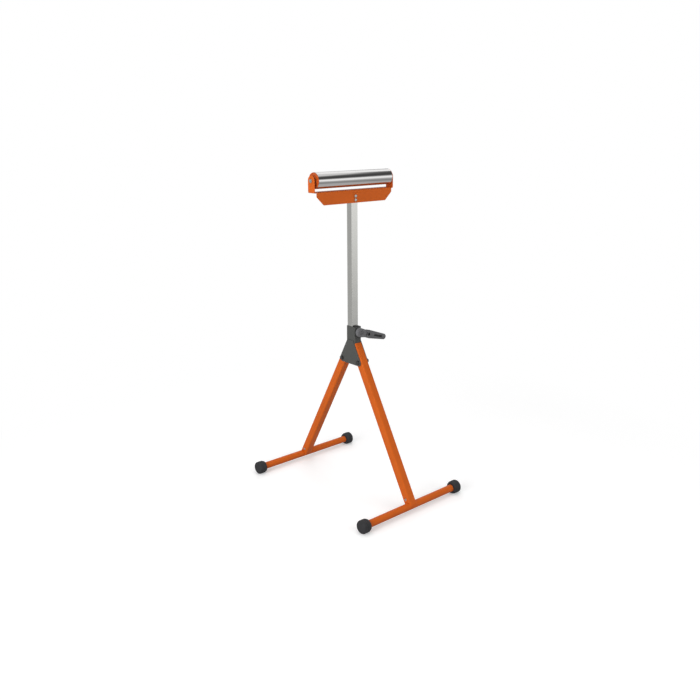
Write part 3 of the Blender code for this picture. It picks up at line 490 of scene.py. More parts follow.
class Form:
    """One mesh in the making, in millimetres, shaped by bmesh operators."""

    def __init__(self) -> None:
        """Starts with nothing."""
        self.work = bmesh.new()

    def chain(self, points: Iterable[Point], closed: bool) -> list[bmesh.types.BMEdge]:
        """Joins points by edges, in order.

        Args:
            points: places in millimetres.
            closed: whether the last point joins the first.

        Returns:
            The new edges.
        """
        verts = [self.work.verts.new(point) for point in points]
        pairs = list(zip(verts, verts[1:]))
        if closed:
            pairs.append((verts[-1], verts[0]))
        return [self.work.edges.new(pair) for pair in pairs]

    def spin(
        self, axis: Axis, profile: Iterable[Flat], centre: Point, steps: int
    ) -> "Form":
        """Turns a profile fully about an axis.

        Args:
            axis: direction of the axis.
            profile: (along, radius) points; one that touches the axis at both ends is left open.
            centre: any point of the axis.
            steps: how many faces go round.

        Returns:
            The form itself.
        """
        profile = list(profile)
        middle = Vector(centre)
        out = Axis.Z.unit if axis is not Axis.Z else Axis.X.unit
        along = axis.unit
        base = middle - along * middle.dot(along)
        points = [base + along * place + out * radius for place, radius in profile]
        solid_core = profile[0][1] == 0.0 and profile[-1][1] == 0.0
        edges = self.chain(points, not solid_core)
        geometry = edges + list(dict.fromkeys(vert for edge in edges for vert in edge.verts))
        bmesh.ops.spin(
            self.work,
            geom=geometry,
            cent=base,
            axis=along,
            dvec=(0.0, 0.0, 0.0),
            angle=FULL_TURN,
            steps=steps,
            use_merge=True,
            use_duplicate=False,
        )
        return self.tidy()

    def slab(self, axis: Axis, outline: Iterable[Flat], low: float, high: float) -> "Form":
        """Extrudes a filled outline along an axis, from low to high.

        Args:
            axis: direction of the extrusion.
            outline: points across the axis, in order.
            low: where it starts along the axis.
            high: where it ends.

        Returns:
            The form itself.
        """
        verts = [self.work.verts.new(axis.at(low, a, b)) for a, b in outline]
        face = self.work.faces.new(verts)
        moved = bmesh.ops.extrude_face_region(self.work, geom=[face])["geom"]
        tops = only(bmesh.types.BMVert, moved)
        bmesh.ops.translate(self.work, verts=tops, vec=axis.unit * (high - low))
        return self.tidy()

    def sleeve(self, axis: Axis, outline: Iterable[Flat], low: float, high: float) -> "Form":
        """Extrudes the outline's edge alone, as a wall with no thickness and open ends.

        Args:
            axis: direction of the extrusion.
            outline: points across the axis, in order.
            low: where it starts along the axis.
            high: where it ends.

        Returns:
            The form itself.
        """
        edges = self.chain([axis.at(low, a, b) for a, b in outline], True)
        moved = bmesh.ops.extrude_edge_only(self.work, edges=edges)["geom"]
        tops = only(bmesh.types.BMVert, moved)
        bmesh.ops.translate(self.work, verts=tops, vec=axis.unit * (high - low))
        return self.tidy()

    def draw_block(self, axis: Axis, margin: float, length: float) -> "Form":
        """Draws a narrower block out of the face that lies furthest along an axis.

        Args:
            axis: direction of the block.
            margin: how far its sides stand in from the face's edges.
            length: how long it is.

        Returns:
            The form itself.
        """
        face = max(self.work.faces, key=lambda each: each.calc_center_median()[axis.value])
        bmesh.ops.inset_individual(self.work, faces=[face], thickness=margin)
        moved = bmesh.ops.extrude_face_region(self.work, geom=[face])["geom"]
        ends = only(bmesh.types.BMVert, moved)
        bmesh.ops.translate(self.work, verts=ends, vec=axis.unit * length)
        bmesh.ops.delete(self.work, geom=[face], context="FACES_ONLY")
        return self.tidy()

    def ball(self, centre: Point, radius: float) -> "Form":
        """Adds a round ball.

        Args:
            centre: its middle.
            radius: its radius.

        Returns:
            The form itself.
        """
        where = Matrix.Translation(centre)
        bmesh.ops.create_icosphere(self.work, subdivisions=3, radius=radius, matrix=where)
        return self

    def tidy(self) -> "Form":
        """Merges doubled points and turns every face outwards.

        Returns:
            The form itself.
        """
        bmesh.ops.remove_doubles(self.work, verts=self.work.verts, dist=1e-4)
        bmesh.ops.recalc_face_normals(self.work, faces=self.work.faces)
        return self

    def slice(self, point: Point, outward: Point, fill: bool) -> "Form":
        """Cuts away what lies beyond a plane.

        Args:
            point: a point of the plane.
            outward: the plane's normal, towards what goes.
            fill: whether the cut is closed by a face.

        Returns:
            The form itself.
        """
        everything = [*self.work.verts, *self.work.edges, *self.work.faces]
        cut = bmesh.ops.bisect_plane(
            self.work, geom=everything, plane_co=point, plane_no=outward, clear_outer=True
        )["geom_cut"]
        if fill:
            bmesh.ops.holes_fill(self.work, edges=only(bmesh.types.BMEdge, cut))
            bmesh.ops.recalc_face_normals(self.work, faces=self.work.faces)
        return self

    def round_edges(
        self, width: float, segments: int, wanted: Callable[[bmesh.types.BMEdge], bool]
    ) -> "Form":
        """Bevels the wanted edges to a round.

        Args:
            width: width of the bevel.
            segments: faces across the round.
            wanted: tells whether an edge is to be rounded.

        Returns:
            The form itself.
        """
        edges = [edge for edge in self.work.edges if edge.is_manifold and wanted(edge)]
        bmesh.ops.bevel(
            self.work,
            geom=edges,
            offset=width,
            offset_type="OFFSET",
            segments=segments,
            profile=0.5,
            affect="EDGES",
            material=-1,
            clamp_overlap=True,
        )
        return self

    def move(self, matrix: Matrix) -> "Form":
        """Moves and turns the whole form."""
        bmesh.ops.transform(self.work, matrix=matrix, verts=self.work.verts)
        return self

    def loose(self, name: str) -> bpy.types.Object:
        """Turns the form into an object in metres and ends the bmesh.

        Args:
            name: name of the object and its mesh.

        Returns:
            The object.
        """
        bmesh.ops.scale(self.work, vec=(MM, MM, MM), verts=self.work.verts)
        mesh = bpy.data.meshes.new(name)
        self.work.to_mesh(mesh)
        self.work.free()
        made = bpy.data.objects.new(name, mesh)
        bpy.context.scene.collection.objects.link(made)
        return made

    def carve(self, *cutters: "Form") -> "Form":
        """Takes other forms out of this one.

        Args:
            cutters: the forms to take out, which are used up.

        Returns:
            The form itself.
        """
        target = self.loose("carved")
        tools = [cutter.loose("carver") for cutter in cutters]
        for tool in tools:
            modifier = target.modifiers.new("carve", "BOOLEAN")
            modifier.operation = "DIFFERENCE"
            modifier.solver = "EXACT"
            modifier.object = tool
        bpy.context.view_layer.update()
        graph = bpy.context.evaluated_depsgraph_get()
        mesh = bpy.data.meshes.new_from_object(target.evaluated_get(graph))
        self.work = bmesh.new()
        self.work.from_mesh(mesh)
        bmesh.ops.scale(self.work, vec=(1 / MM, 1 / MM, 1 / MM), verts=self.work.verts)
        bpy.data.meshes.remove(mesh)
        for spent in [target, *tools]:
            data = spent.data
            bpy.data.objects.remove(spent)
            bpy.data.meshes.remove(data)
        return self


@dataclass(frozen=True)
class Trim:
    """How a form is finished: its wall's thickness, its broken edges and where shading turns sharp."""

    wall: float = 0.0
    edge: float = 0.0
    segments: int = 2
    sharp: float = math.radians(34)
    edge_angle: float = math.radians(34)


def round_trim(wall: float, edge: float, segments: int = 2) -> Trim:
    """Trim for a form with round corners, which breaks its sharp edges alone."""
    return Trim(wall, edge, segments, edge_angle=math.radians(50))


def dress(form: Form, node: str, body: str, finish: Finish, trim: Trim = Trim()) -> bpy.types.Object:
    """Makes the piece that stands for a solid.

    Args:
        form: the shape, which is used up.
        node: the solid that the piece replaces.
        body: the body that it rides on.
        finish: its finish.
        trim: its wall, edges and shading.

    Returns:
        The piece.
    """
    piece = form.loose(node + "_form")
    mesh = piece.data
    mesh.materials.append(finish.material())
    mesh.shade_smooth()
    if trim.wall:
        wall = piece.modifiers.new("wall", "SOLIDIFY")
        wall.thickness = trim.wall * MM
        wall.offset = -1.0
        wall.use_even_offset = True
    if trim.edge:
        edge = piece.modifiers.new("broken_edges", "BEVEL")
        edge.width = trim.edge * MM
        edge.segments = trim.segments
        edge.limit_method = "ANGLE"
        edge.angle_limit = trim.edge_angle
        edge.harden_normals = True
    else:
        mesh.set_sharp_from_angle(angle=trim.sharp)
    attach(piece, body)
    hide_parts(node)
    LOG.info("%s rides on %s", piece.name, body)
    return piece


def repaint(node: str, finish: Finish) -> None:
    """Gives a solid that stays its finish.

    Args:
        node: the solid.
        finish: the finish that it gets.
    """
    mesh = bpy.data.objects[node].data
    mesh.materials.clear()
    mesh.materials.append(finish.material())
    LOG.info("%s keeps its own shape", node)


def arc(centre: Flat, radius: float, start: float, end: float, steps: int) -> Outline:
    """Points along an arc, both ends included, with angles in degrees.

    Args:
        centre: centre of the arc.
        radius: its radius.
        start: angle of its first point, in degrees.
        end: angle of its last point.
        steps: how many straight pieces it has.

    Returns:
        The points, both ends included.
    """
    points = []
    for k in range(steps + 1):
        angle = math.radians(start + (end - start) * k / steps)
        points.append((centre[0] + radius * math.cos(angle), centre[1] + radius * math.sin(angle)))
    return points


def rounded_box(width: float, depth: float, radius: float, centre: Flat, steps: int = 8) -> Outline:
    """Outline of a rectangle with round corners, turned anticlockwise.

    Args:
        width: size along the first direction.
        depth: size along the second direction.
        radius: radius of the corners.
        centre: middle of the rectangle.
        steps: straight pieces in each corner.

    Returns:
        The points, anticlockwise.
    """
    points = []
    for quarter, (sx, sy) in enumerate(((1, 1), (-1, 1), (-1, -1), (1, -1))):
        corner = (centre[0] + sx * (width / 2 - radius), centre[1] + sy * (depth / 2 - radius))
        points += arc(corner, radius, 90.0 * quarter, 90.0 * (quarter + 1), steps)
    return points


def drill(axis: Axis, radius: float, low: float, high: float, centre: Point, steps: int) -> Form:
    """Round cutter about an axis, from low to high."""
    profile = [(low, 0.0), (low, radius), (high, radius), (high, 0.0)]
    return Form().spin(axis, profile, centre, steps)


@dataclass(frozen=True)
class Bearing:
    """Sizes that the rings, the balls and the axle's neighbours share."""

    bore: float = 4.3
    pitch: float = 7.5
    groove_r: float = 2.0
    outer_race: float = 9.1
    inner_race: float = 5.9
    edge: float = 0.3
    balls: int = 7
    ball_r: float = 1.7
    cage_wide: float = 1.8
    cage_thick: float = 0.7


BEARING = Bearing()


@dataclass
class Roller:
    """The free-running roller: tube, end plugs and the bearing parts that turn with it."""

    wall: float = 1.5
    inner_edge: float = 0.3
    lip: float = 1.5
    lip_back: float = 0.4
    lip_edge: float = 0.7
    plug_bore: float = 6.5
    spigot_edge: float = 0.8
    dish_rim: float = 3.6
    dish_edge: float = 0.5
    dish_deep: float = 1.0
    collar_foot: float = 2.8
    collar_wall: float = 1.5
    collar_edge: float = 0.5
    mouth_edge: float = 0.4
    round_steps: int = 160
    body: str = "roller"

    def build(self) -> None:
        """Builds every piece of the roller."""
        tube = Span.of("roller_tube")
        self.make_tube(tube)
        for side, label in ((-1, "left"), (1, "right")):
            self.make_plug(tube, side, label)
            self.make_ring(label)
            self.make_balls(label)

    def make_tube(self, tube: Span) -> None:
        """Chromed tube with rolled end edges.

        Args:
            tube: box of the tube's solid.
        """
        half, radius = tube.size.x / 2, tube.size.z / 2
        nose = self.wall * 0.45
        outer = arc((half - nose, radius - nose), nose, 90, 0, 5)
        small = self.inner_edge
        inner = arc((half - small, radius - self.wall + small), small, 0, -90, 3)
        end = outer + inner
        profile = end + [(-x, r) for x, r in reversed(end)]
        form = Form().spin(Axis.X, profile, tube.middle, self.round_steps)
        dress(form, "roller_tube", self.body, ROLLER_CHROME)

    def make_plug(self, tube: Span, side: int, label: str) -> None:
        """Nylon plug: lip over the tube's end, shallow dish, and a collar round the bearing.

        Args:
            tube: box of the tube's solid.
            side: -1 for the left end, 1 for the right end.
            label: left or right.
        """
        node = "end_plug_" + label
        span = Span.of(node)
        ring = Span.of("bearing_outer_ring_" + label)
        half, radius = tube.size.x / 2, tube.size.z / 2
        seat = half + FIT
        face = max(abs(span.low.x), abs(span.high.x))
        back = min(abs(span.low.x), abs(span.high.x))
        lip_face = seat + self.lip
        pocket = ring.size.z / 2 + FIT
        floor = half - ring.size.x - FIT
        spigot = radius - self.wall - FIT
        lip_r, dish, dish_r = radius - FIT, lip_face - self.dish_deep, radius - self.dish_rim
        profile = [(back, self.plug_bore), (back, spigot - self.spigot_edge)]
        profile += [(back + self.spigot_edge, spigot), (seat, spigot)]
        profile += arc((seat + self.lip_back, lip_r - self.lip_back), self.lip_back, 180, 90, 3)
        profile += arc((lip_face - self.lip_edge, lip_r - self.lip_edge), self.lip_edge, 90, 0, 5)
        profile += arc((lip_face - self.dish_edge, dish_r), self.dish_edge, 0, -60, 3)
        profile += [(dish, dish_r - self.dish_deep), (dish, pocket + self.collar_foot)]
        profile += arc((face - self.collar_edge, pocket + self.collar_wall), self.collar_edge, 60, 0, 3)
        profile += arc((face - self.mouth_edge, pocket + self.mouth_edge), self.mouth_edge, 0, -90, 3)
        profile += [(floor, pocket), (floor, self.plug_bore)]
        form = Form().spin(Axis.X, [(side * x, r) for x, r in profile], tube.middle, 96)
        dress(form, node, self.body, ORANGE_PLASTIC)

    def make_ring(self, label: str) -> None:
        """Outer ring of a bearing, with its groove.

        Args:
            label: left or right.
        """
        node = "bearing_outer_ring_" + label
        span = Span.of(node)
        low, high, radius = span.low.x, span.high.x, span.size.z / 2
        race, edge = BEARING.outer_race, BEARING.edge
        groove = arc((span.middle.x, BEARING.pitch), BEARING.groove_r, 40, 140, 10)
        profile = [(low + edge, radius), (high - edge, radius), (high, radius - edge), (high, race)]
        profile += [(x, r) for x, r in groove if r > race] + [(low, race), (low, radius - edge)]
        form = Form().spin(Axis.X, profile, span.middle, 72)
        dress(form, node, self.body, RING_STEEL)

    def make_balls(self, label: str) -> None:
        """Balls and the pressed cage between them.

        Args:
            label: left or right.
        """
        node = "bearing_balls_" + label
        span = Span.of(node)
        half, pitch, thick = BEARING.cage_wide / 2, BEARING.pitch, BEARING.cage_thick / 2
        low, high = span.middle.x - half, span.middle.x + half
        profile = [(low, pitch - thick), (low, pitch + thick)]
        profile += [(high, pitch + thick), (high, pitch - thick)]
        form = Form().spin(Axis.X, profile, span.middle, 56)
        for k in range(BEARING.balls):
            angle = FULL_TURN * k / BEARING.balls
            out = Vector((0.0, math.cos(angle), math.sin(angle)))
            form.ball(span.middle + out * pitch, BEARING.ball_r)
        dress(form, node, self.body, BALL_BRASS)


@dataclass
class Head:
    """Folded head bracket with its axle, spacers, inner rings, bolts and nuts."""

    sheet: float = 2.5
    bend: float = 3.5
    inner_bend: float = 1.5
    panel_half: float = 7.0
    panel_low: float = 3.5
    panel_high: float = 9.0
    press: float = 1.2
    ramp: float = 1.3
    corner: Flat = (27.0, 26.0)
    corner_trim: float = 0.5
    setback: float = 8.5
    deep: float = 40.0
    ear_half: float = 15.5
    neck_in: float = 1.5
    bend_steps: int = 8
    edge: float = 0.45
    rod_r: float = 4.0
    rod_head_edge: float = 0.5
    rod_head_round: float = 1.6
    rod_dish: tuple[Flat, ...] = ((0.0, 2.6), (0.5, 1.9), (0.7, 0.0))
    spacer_edge: float = 0.4
    shank_r: float = 3.0
    shank_edge: float = 0.6
    bolt_head: float = 3.2
    bolt_crown: tuple[Flat, ...] = ((0.0, 3.5), (0.3, 4.1), (0.8, 4.6))
    bolt_rim: float = 1.5
    bolt_socket_r: float = 1.7
    bolt_socket_deep: float = 1.7
    nut_bore: float = 3.3
    nut_flats: float = 10.0
    body: str = "mast"

    def build(self) -> None:
        """Builds every piece of the head."""
        bracket = Span.of("head_bracket")
        axle = Span.of("roller_axle").middle
        self.make_bracket(bracket, axle)
        self.make_axle(axle)
        for label in ("left", "right"):
            self.make_spacer(label, axle)
            self.make_inner_ring(label, axle)
        for number in (1, 2):
            self.make_bolt(number)
            self.make_nut(number)

    def section(self, bracket: Span) -> Outline:
        """Outer line of the folded sheet, from the flange's lower edge over the web to its rear edge.

        Args:
            bracket: box of the bracket's solid.

        Returns:
            The line's points along Y and Z.
        """
        front, rear, low = bracket.low.y, bracket.high.y, bracket.low.z
        top = low + self.deep
        heights = [low, low + self.panel_low - self.ramp, low + self.panel_low]
        heights += [top - self.panel_high, top - self.panel_high + self.ramp]
        line = [(front, z) for z in heights]
        line += arc((front + self.bend, top - self.bend), self.bend, 180, 90, self.bend_steps)
        return [*line, (rear, top)]

    def make_bracket(self, bracket: Span, axle: Vector) -> None:
        """Folds the bracket from one sheet: web, front flange with its pressed strip, and ears.

        Args:
            bracket: box of the bracket's solid.
            axle: a point of the roller's axis.
        """
        form = Form()
        work = form.work
        flange = bracket.high.x - self.setback
        stations = [self.panel_half, self.panel_half + self.ramp, 0.5 * flange, flange]
        edges = form.chain([(0.0, y, z) for y, z in self.section(bracket)], False)
        place = 0.0
        for station in stations:
            moved = bmesh.ops.extrude_edge_only(work, edges=edges)["geom"]
            verts = only(bmesh.types.BMVert, moved)
            new_edges = only(bmesh.types.BMEdge, moved)
            edges = [edge for edge in new_edges if all(vert in verts for vert in edge.verts)]
            bmesh.ops.translate(work, verts=verts, vec=(station - place, 0.0, 0.0))
            place = station
        self.press_strip(form, bracket)
        self.slant_corners(form, bracket, flange)
        self.raise_ear(form, bracket, axle, flange)
        everything = [*work.verts, *work.edges, *work.faces]
        bmesh.ops.mirror(work, geom=everything, axis="X", merge_dist=1e-3)
        form.tidy()
        web = next(face for face in work.faces if abs(face.normal.z) > 0.99)
        if web.normal.z < 0:
            bmesh.ops.reverse_faces(work, faces=work.faces)
        dress(form, "head_bracket", self.body, ORANGE_PAINT, Trim(self.sheet, self.edge, 3))

    def press_strip(self, form: Form, bracket: Span) -> None:
        """Sets the middle of the flange in, where it seats on the mast.

        Args:
            form: right half of the folded sheet.
            bracket: box of the bracket's solid.
        """
        low, top = bracket.low.z, bracket.low.z + self.deep
        verts = [
            vert
            for vert in form.work.verts
            if abs(vert.co.y - bracket.low.y) < 0.01
            and vert.co.x < self.panel_half + 0.1
            and low + self.panel_low - 0.1 < vert.co.z < top - self.panel_high + 0.1
        ]
        bmesh.ops.translate(form.work, verts=verts, vec=(0.0, self.press, 0.0))

    def slant_corners(self, form: Form, bracket: Span, flange: float) -> None:
        """Cuts the lower corner off the flange, with a small round at each end of the slant.

        Args:
            form: right half of the folded sheet.
            bracket: box of the bracket's solid.
            flange: end of the flange along X.
        """
        long, high = self.corner
        low = bracket.low.z
        slant = Vector((high, 0.0, -long)).normalized()
        form.slice((flange - long, 0.0, low), slant, False)
        for x, z, share in ((flange - long, low, 0.0), (flange, low + high, 1.0)):
            beside = Vector((0.0, 0.0, -1.0)) if share == 0.0 else Vector((1.0, 0.0, 0.0))
            half_way = (slant + beside).normalized()
            form.slice(Vector((x, 0.0, z)) - half_way * self.corner_trim, half_way, False)

    def raise_ear(self, form: Form, bracket: Span, axle: Vector, flange: float) -> None:
        """Bends the ear up from the web's end and gives it a round top.

        Args:
            form: right half of the folded sheet.
            bracket: box of the bracket's solid.
            axle: a point of the roller's axis.
            flange: end of the flange along X.
        """
        work = form.work
        top = bracket.low.z + self.deep
        inner_face = bracket.high.x - self.sheet
        bend_x = inner_face - self.inner_bend
        mid = bracket.middle.y
        ends = [v for v in work.verts if abs(v.co.x - flange) < 0.01 and abs(v.co.z - top) < 0.01]
        ends.sort(key=lambda vert: vert.co.y)
        neck_x, half = flange + self.neck_in, self.ear_half
        neck = [(neck_x, -half), (bend_x, -half), (bend_x, half), (neck_x, half)]
        corners = [work.verts.new((x, mid + y, top)) for x, y in neck]
        work.faces.new([ends[0], *corners, ends[-1]])
        base = work.edges.get((corners[1], corners[2]))
        turned = bmesh.ops.spin(
            work,
            geom=[base, corners[1], corners[2]],
            cent=(bend_x, mid, top + self.inner_bend),
            axis=(0.0, 1.0, 0.0),
            dvec=(0.0, 0.0, 0.0),
            angle=-math.pi / 2,
            steps=self.bend_steps,
        )["geom_last"]
        last = sorted(only(bmesh.types.BMVert, turned), key=lambda vert: vert.co.y)
        arch = arc((mid, axle.z), self.ear_half, 0, 180, 28)
        crown = [work.verts.new((inner_face, y, z)) for y, z in arch]
        work.faces.new([last[0], last[1], *crown])

    def make_axle(self, axle: Vector) -> None:
        """Rod with a formed, slightly dished head at each end.

        Args:
            axle: a point of the roller's axis.
        """
        head = Span.of("roller_axle")
        half, radius = head.size.x / 2, head.size.z / 2
        seat = Span.of("head_bracket").size.x / 2 + FIT
        edge, dome = self.rod_head_edge, self.rod_head_round
        end = [(seat, self.rod_r), (seat, radius - edge)]
        end += arc((seat + edge, radius - edge), edge, 180, 90, 4)
        end += arc((half - dome, radius - dome), dome, 90, 10, 7)
        end += [(half - sunk, r) for sunk, r in self.rod_dish]
        profile = [(-x, r) for x, r in reversed(end)] + end
        form = Form().spin(Axis.X, profile, axle, 64)
        dress(form, "roller_axle", self.body, ZINC)

    def make_spacer(self, label: str, axle: Vector) -> None:
        """Short tube between bearing and ear.

        Args:
            label: left or right.
            axle: a point of the roller's axis.
        """
        node = "axle_spacer_" + label
        span = Span.of(node)
        low, high, radius, edge = span.low.x, span.high.x, span.size.z / 2, self.spacer_edge
        profile = [(low, BEARING.bore), (low, radius - edge), (low + edge, radius)]
        profile += [(high - edge, radius), (high, radius - edge), (high, BEARING.bore)]
        dress(Form().spin(Axis.X, profile, axle, 64), node, self.body, ZINC)

    def make_inner_ring(self, label: str, axle: Vector) -> None:
        """Inner ring of a bearing, with its groove.

        Args:
            label: left or right.
            axle: a point of the roller's axis.
        """
        node = "bearing_inner_ring_" + label
        span = Span.of(node)
        low, high, bore, race = span.low.x, span.high.x, BEARING.bore, BEARING.inner_race
        groove = arc((span.middle.x, BEARING.pitch), BEARING.groove_r, 220, 320, 10)
        groove = [(x, r) for x, r in groove if r < race]
        profile = [(low, bore), (low, race), *groove, (high, race), (high, bore)]
        dress(Form().spin(Axis.X, profile, axle, 64), node, self.body, RING_STEEL)

    def make_bolt(self, number: int) -> None:
        """Low-headed bolt with a small hexagonal socket.

        Args:
            number: 1 for the upper one, 2 for the lower one.
        """
        node = f"head_bolt_{number}"
        span = Span.of(node)
        radius, shank, edge = span.size.z / 2, self.shank_r, self.shank_edge
        front, tail = span.low.y, span.high.y - self.sheet - FIT
        seat = front + self.bolt_head
        profile = [(front, 0.0)] + [(front + back, r) for back, r in self.bolt_crown]
        profile += [(front + self.bolt_rim, radius), (seat, radius), (seat, shank)]
        profile += [(tail - edge, shank), (tail, shank - edge), (tail, 0.0)]
        form = Form().spin(Axis.Y, profile, span.middle, 64)
        hexagon = arc((span.middle.x, span.middle.z), self.bolt_socket_r, 0, 300, 5)
        form.carve(Form().slab(Axis.Y, hexagon, front - OVER, front + self.bolt_socket_deep))
        dress(form, node, self.body, ZINC)

    def make_nut(self, number: int) -> None:
        """Hexagon nut with chamfered corners, against the mast's rear wall.

        Args:
            number: 1 for the upper one, 2 for the lower one.
        """
        solid = Span.of(f"head_nut_{number}")
        forward = Vector((0.0, self.sheet + FIT, 0.0))
        span = Span(solid.low - forward, solid.high - forward)
        form = hex_nut(Axis.Y, span, self.nut_bore, self.nut_flats, 0.0)
        dress(form, f"head_nut_{number}", self.body, ZINC, Trim(edge=0.15))


def hex_nut(axis: Axis, span: Span, bore: float, flats: float, clock: float) -> Form:
    """Nut of a hexagon meeting a cone, with its bore.

    Args:
        axis: direction of the bore.
        span: the box of the nut's solid.
        bore: radius of the hole, or 0 for none.
        flats: width across flats.
        clock: how far the hexagon is turned, in radians.

    Returns:
        The nut's form.
    """
    low, high = span.low[axis.value], span.high[axis.value]
    others = [i for i in range(3) if i != axis.value]
    centre = (span.middle[others[0]], span.middle[others[1]])
    corner = flats / math.sqrt(3)
    turn_deg = math.degrees(clock)
    outline = arc(centre, corner, turn_deg, turn_deg + 300, 5)
    form = Form().slab(axis, outline, low, high)
    trimmed, past, chamfer = corner - 0.35, corner + 0.5, 0.45
    under, above, clear = low - 3 * OVER, high + 3 * OVER, corner + 6 * OVER
    cone = [(under, trimmed), (low, trimmed), (low + chamfer, past)]
    cone += [(high - chamfer, past), (high, trimmed), (above, trimmed)]
    cone += [(above, clear), (under, clear)]
    cutters = [Form().spin(axis, cone, span.middle, 60)]
    if bore:
        cutters.append(drill(axis, bore, low - OVER, high + OVER, span.middle, 40))
    return form.carve(*cutters)


@dataclass
class Mast:
    """Square chromed mast and the plug in its lower end."""

    wall: float = 1.5
    corner: float = 2.6
    edge: float = 0.2
    foot_corner: float = 3.0
    foot_edge: float = 0.5
    body: str = "mast"

    def build(self) -> None:
        """Builds the column and its foot."""
        column = Span.of("mast_column")
        centre = (column.middle.x, column.middle.y)
        outline = rounded_box(column.size.x, column.size.y, self.corner, centre)
        form = Form().sleeve(Axis.Z, outline, column.low.z, column.high.z)
        dress(form, "mast_column", self.body, MAST_CHROME, round_trim(self.wall, self.edge))
        self.make_foot(column, centre)

    def make_foot(self, column: Span, centre: Flat) -> None:
        """Stepped plug: a rim below the tube and a spigot inside it.

        Args:
            column: box of the column's solid.
            centre: the column's middle, across it.
        """
        span = Span.of("mast_foot")
        rim_top = column.low.z - FIT
        spigot = column.size.x - 2 * self.wall - 2 * FIT
        rim = rounded_box(span.size.x, span.size.y, self.foot_corner, centre, 6)
        form = Form().slab(Axis.Z, rim, span.low.z, rim_top)
        form.draw_block(Axis.Z, (span.size.x - spigot) / 2, span.high.z - rim_top)
        dress(form, "mast_foot", self.body, BLACK_PLASTIC, Trim(edge=self.foot_edge))


@dataclass
class Base:
    """Sleeve, boss, gussets and pivot bolts: what stands still when everything else moves."""

    wall: float = 1.5
    corner: float = 3.0
    sleeve_edge: float = 0.3
    boss_bore: float = 4.3
    weld_long: float = 1.5
    weld_edge: float = 0.4
    weld_high: float = 0.9
    boss_round: float = 1.0
    lower_round: float = 11.0
    upper_round: float = 4.0
    plate_edge: float = 0.5
    bolt_head: float = 5.0
    bolt_flats: float = 13.0
    bolt_turn: float = 0.3
    shank_r: float = 4.0
    shank_edge: float = 0.6
    nut_bore: float = 4.3
    nut_edge: float = 0.2
    body: str = "base"

    def build(self) -> None:
        """Builds every piece of the base."""
        self.make_sleeve()
        self.make_boss()
        for label in ("left", "right"):
            self.make_gusset(label)
        for label in ("front", "rear"):
            self.make_bolt(label)

    def make_sleeve(self) -> None:
        """Rectangular tube round the mast and the shoe."""
        span = Span.of("clamp_sleeve")
        centre = (span.middle.x, span.middle.y)
        outline = rounded_box(span.size.x, span.size.y, self.corner, centre)
        form = Form().sleeve(Axis.Z, outline, span.low.z, span.high.z)
        dress(form, "clamp_sleeve", self.body, GREY_PAINT, round_trim(self.wall, self.sleeve_edge, 3))

    def make_boss(self) -> None:
        """Turned boss with a soft front edge and a weld fillet at its foot."""
        span = Span.of("clamp_boss")
        front, rear, radius = span.low.y, span.high.y, span.size.z / 2
        barrel, soft = radius - self.weld_high, self.boss_round
        profile = [(rear, self.boss_bore), (rear, radius)]
        profile += [(rear - self.weld_edge, radius), (rear - self.weld_long, barrel)]
        profile += arc((front + soft, barrel - soft), soft, 90, 180, 5)
        profile += [(front, self.boss_bore)]
        dress(Form().spin(Axis.Y, profile, span.middle, 72), "clamp_boss", self.body, GREY_PAINT)

    def make_gusset(self, label: str) -> None:
        """Tapered plate with round corners, its outline taken from its own solid.

        Args:
            label: left or right.
        """
        node = "gusset_plate_" + label
        span = Span.of(node)
        low_half, top_half = self.plate_halves(node, span)
        low, high = span.low.z, span.high.z
        corners = [(-low_half, low), (low_half, low), (top_half, high), (-top_half, high)]
        radii = [self.lower_round, self.lower_round, self.upper_round, self.upper_round]
        outline = soften(corners, radii, 10)
        form = Form().slab(Axis.X, outline, span.low.x, span.high.x)
        dress(form, node, self.body, GREY_PAINT, Trim(edge=self.plate_edge, segments=3))

    def plate_halves(self, node: str, span: Span) -> tuple[float, float]:
        """Half widths of the plate, its straight edges run on to its lower and its upper side.

        Args:
            node: the plate's node.
            span: the plate's box.

        Returns:
            The half width below and the half width above.
        """
        points = [vert.co / MM for vert in bpy.data.objects[node].data.vertices]
        straight = [p for p in points if span.low.z + self.lower_round * 2 / 3 < p.z < span.high.z - 1]
        lower = max(straight, key=lambda p: p.y)
        upper = max((p for p in straight if p.z > span.middle.z), key=lambda p: p.z)
        slope = (lower.y - upper.y) / (upper.z - lower.z)
        below = lower.y + slope * (lower.z - span.low.z)
        above = upper.y - slope * (span.high.z - upper.z)
        return below, above

    def make_bolt(self, label: str) -> None:
        """Hexagon bolt with its shank, and the lock nut on its end.

        Args:
            label: front or rear.
        """
        node = "pivot_bolt_" + label
        span = Span.of(node)
        nut = Span.of("pivot_nut_" + label)
        shank, edge, trim = self.shank_r, self.shank_edge, Trim(edge=self.nut_edge)
        head = Span(span.low, Vector((span.low.x + self.bolt_head, span.high.y, span.high.z)))
        form = hex_nut(Axis.X, head, 0.0, self.bolt_flats, self.bolt_turn)
        tail = [(head.high.x, 0.0), (head.high.x, shank), (span.high.x - edge, shank)]
        tail += [(span.high.x, shank - edge), (span.high.x, 0.0)]
        form.spin(Axis.X, tail, nut.middle, 48)
        dress(form, node, self.body, BLACK_STEEL, trim)
        form = hex_nut(Axis.X, nut, self.nut_bore, self.bolt_flats, self.bolt_turn)
        dress(form, "pivot_nut_" + label, self.body, BLACK_STEEL, trim)


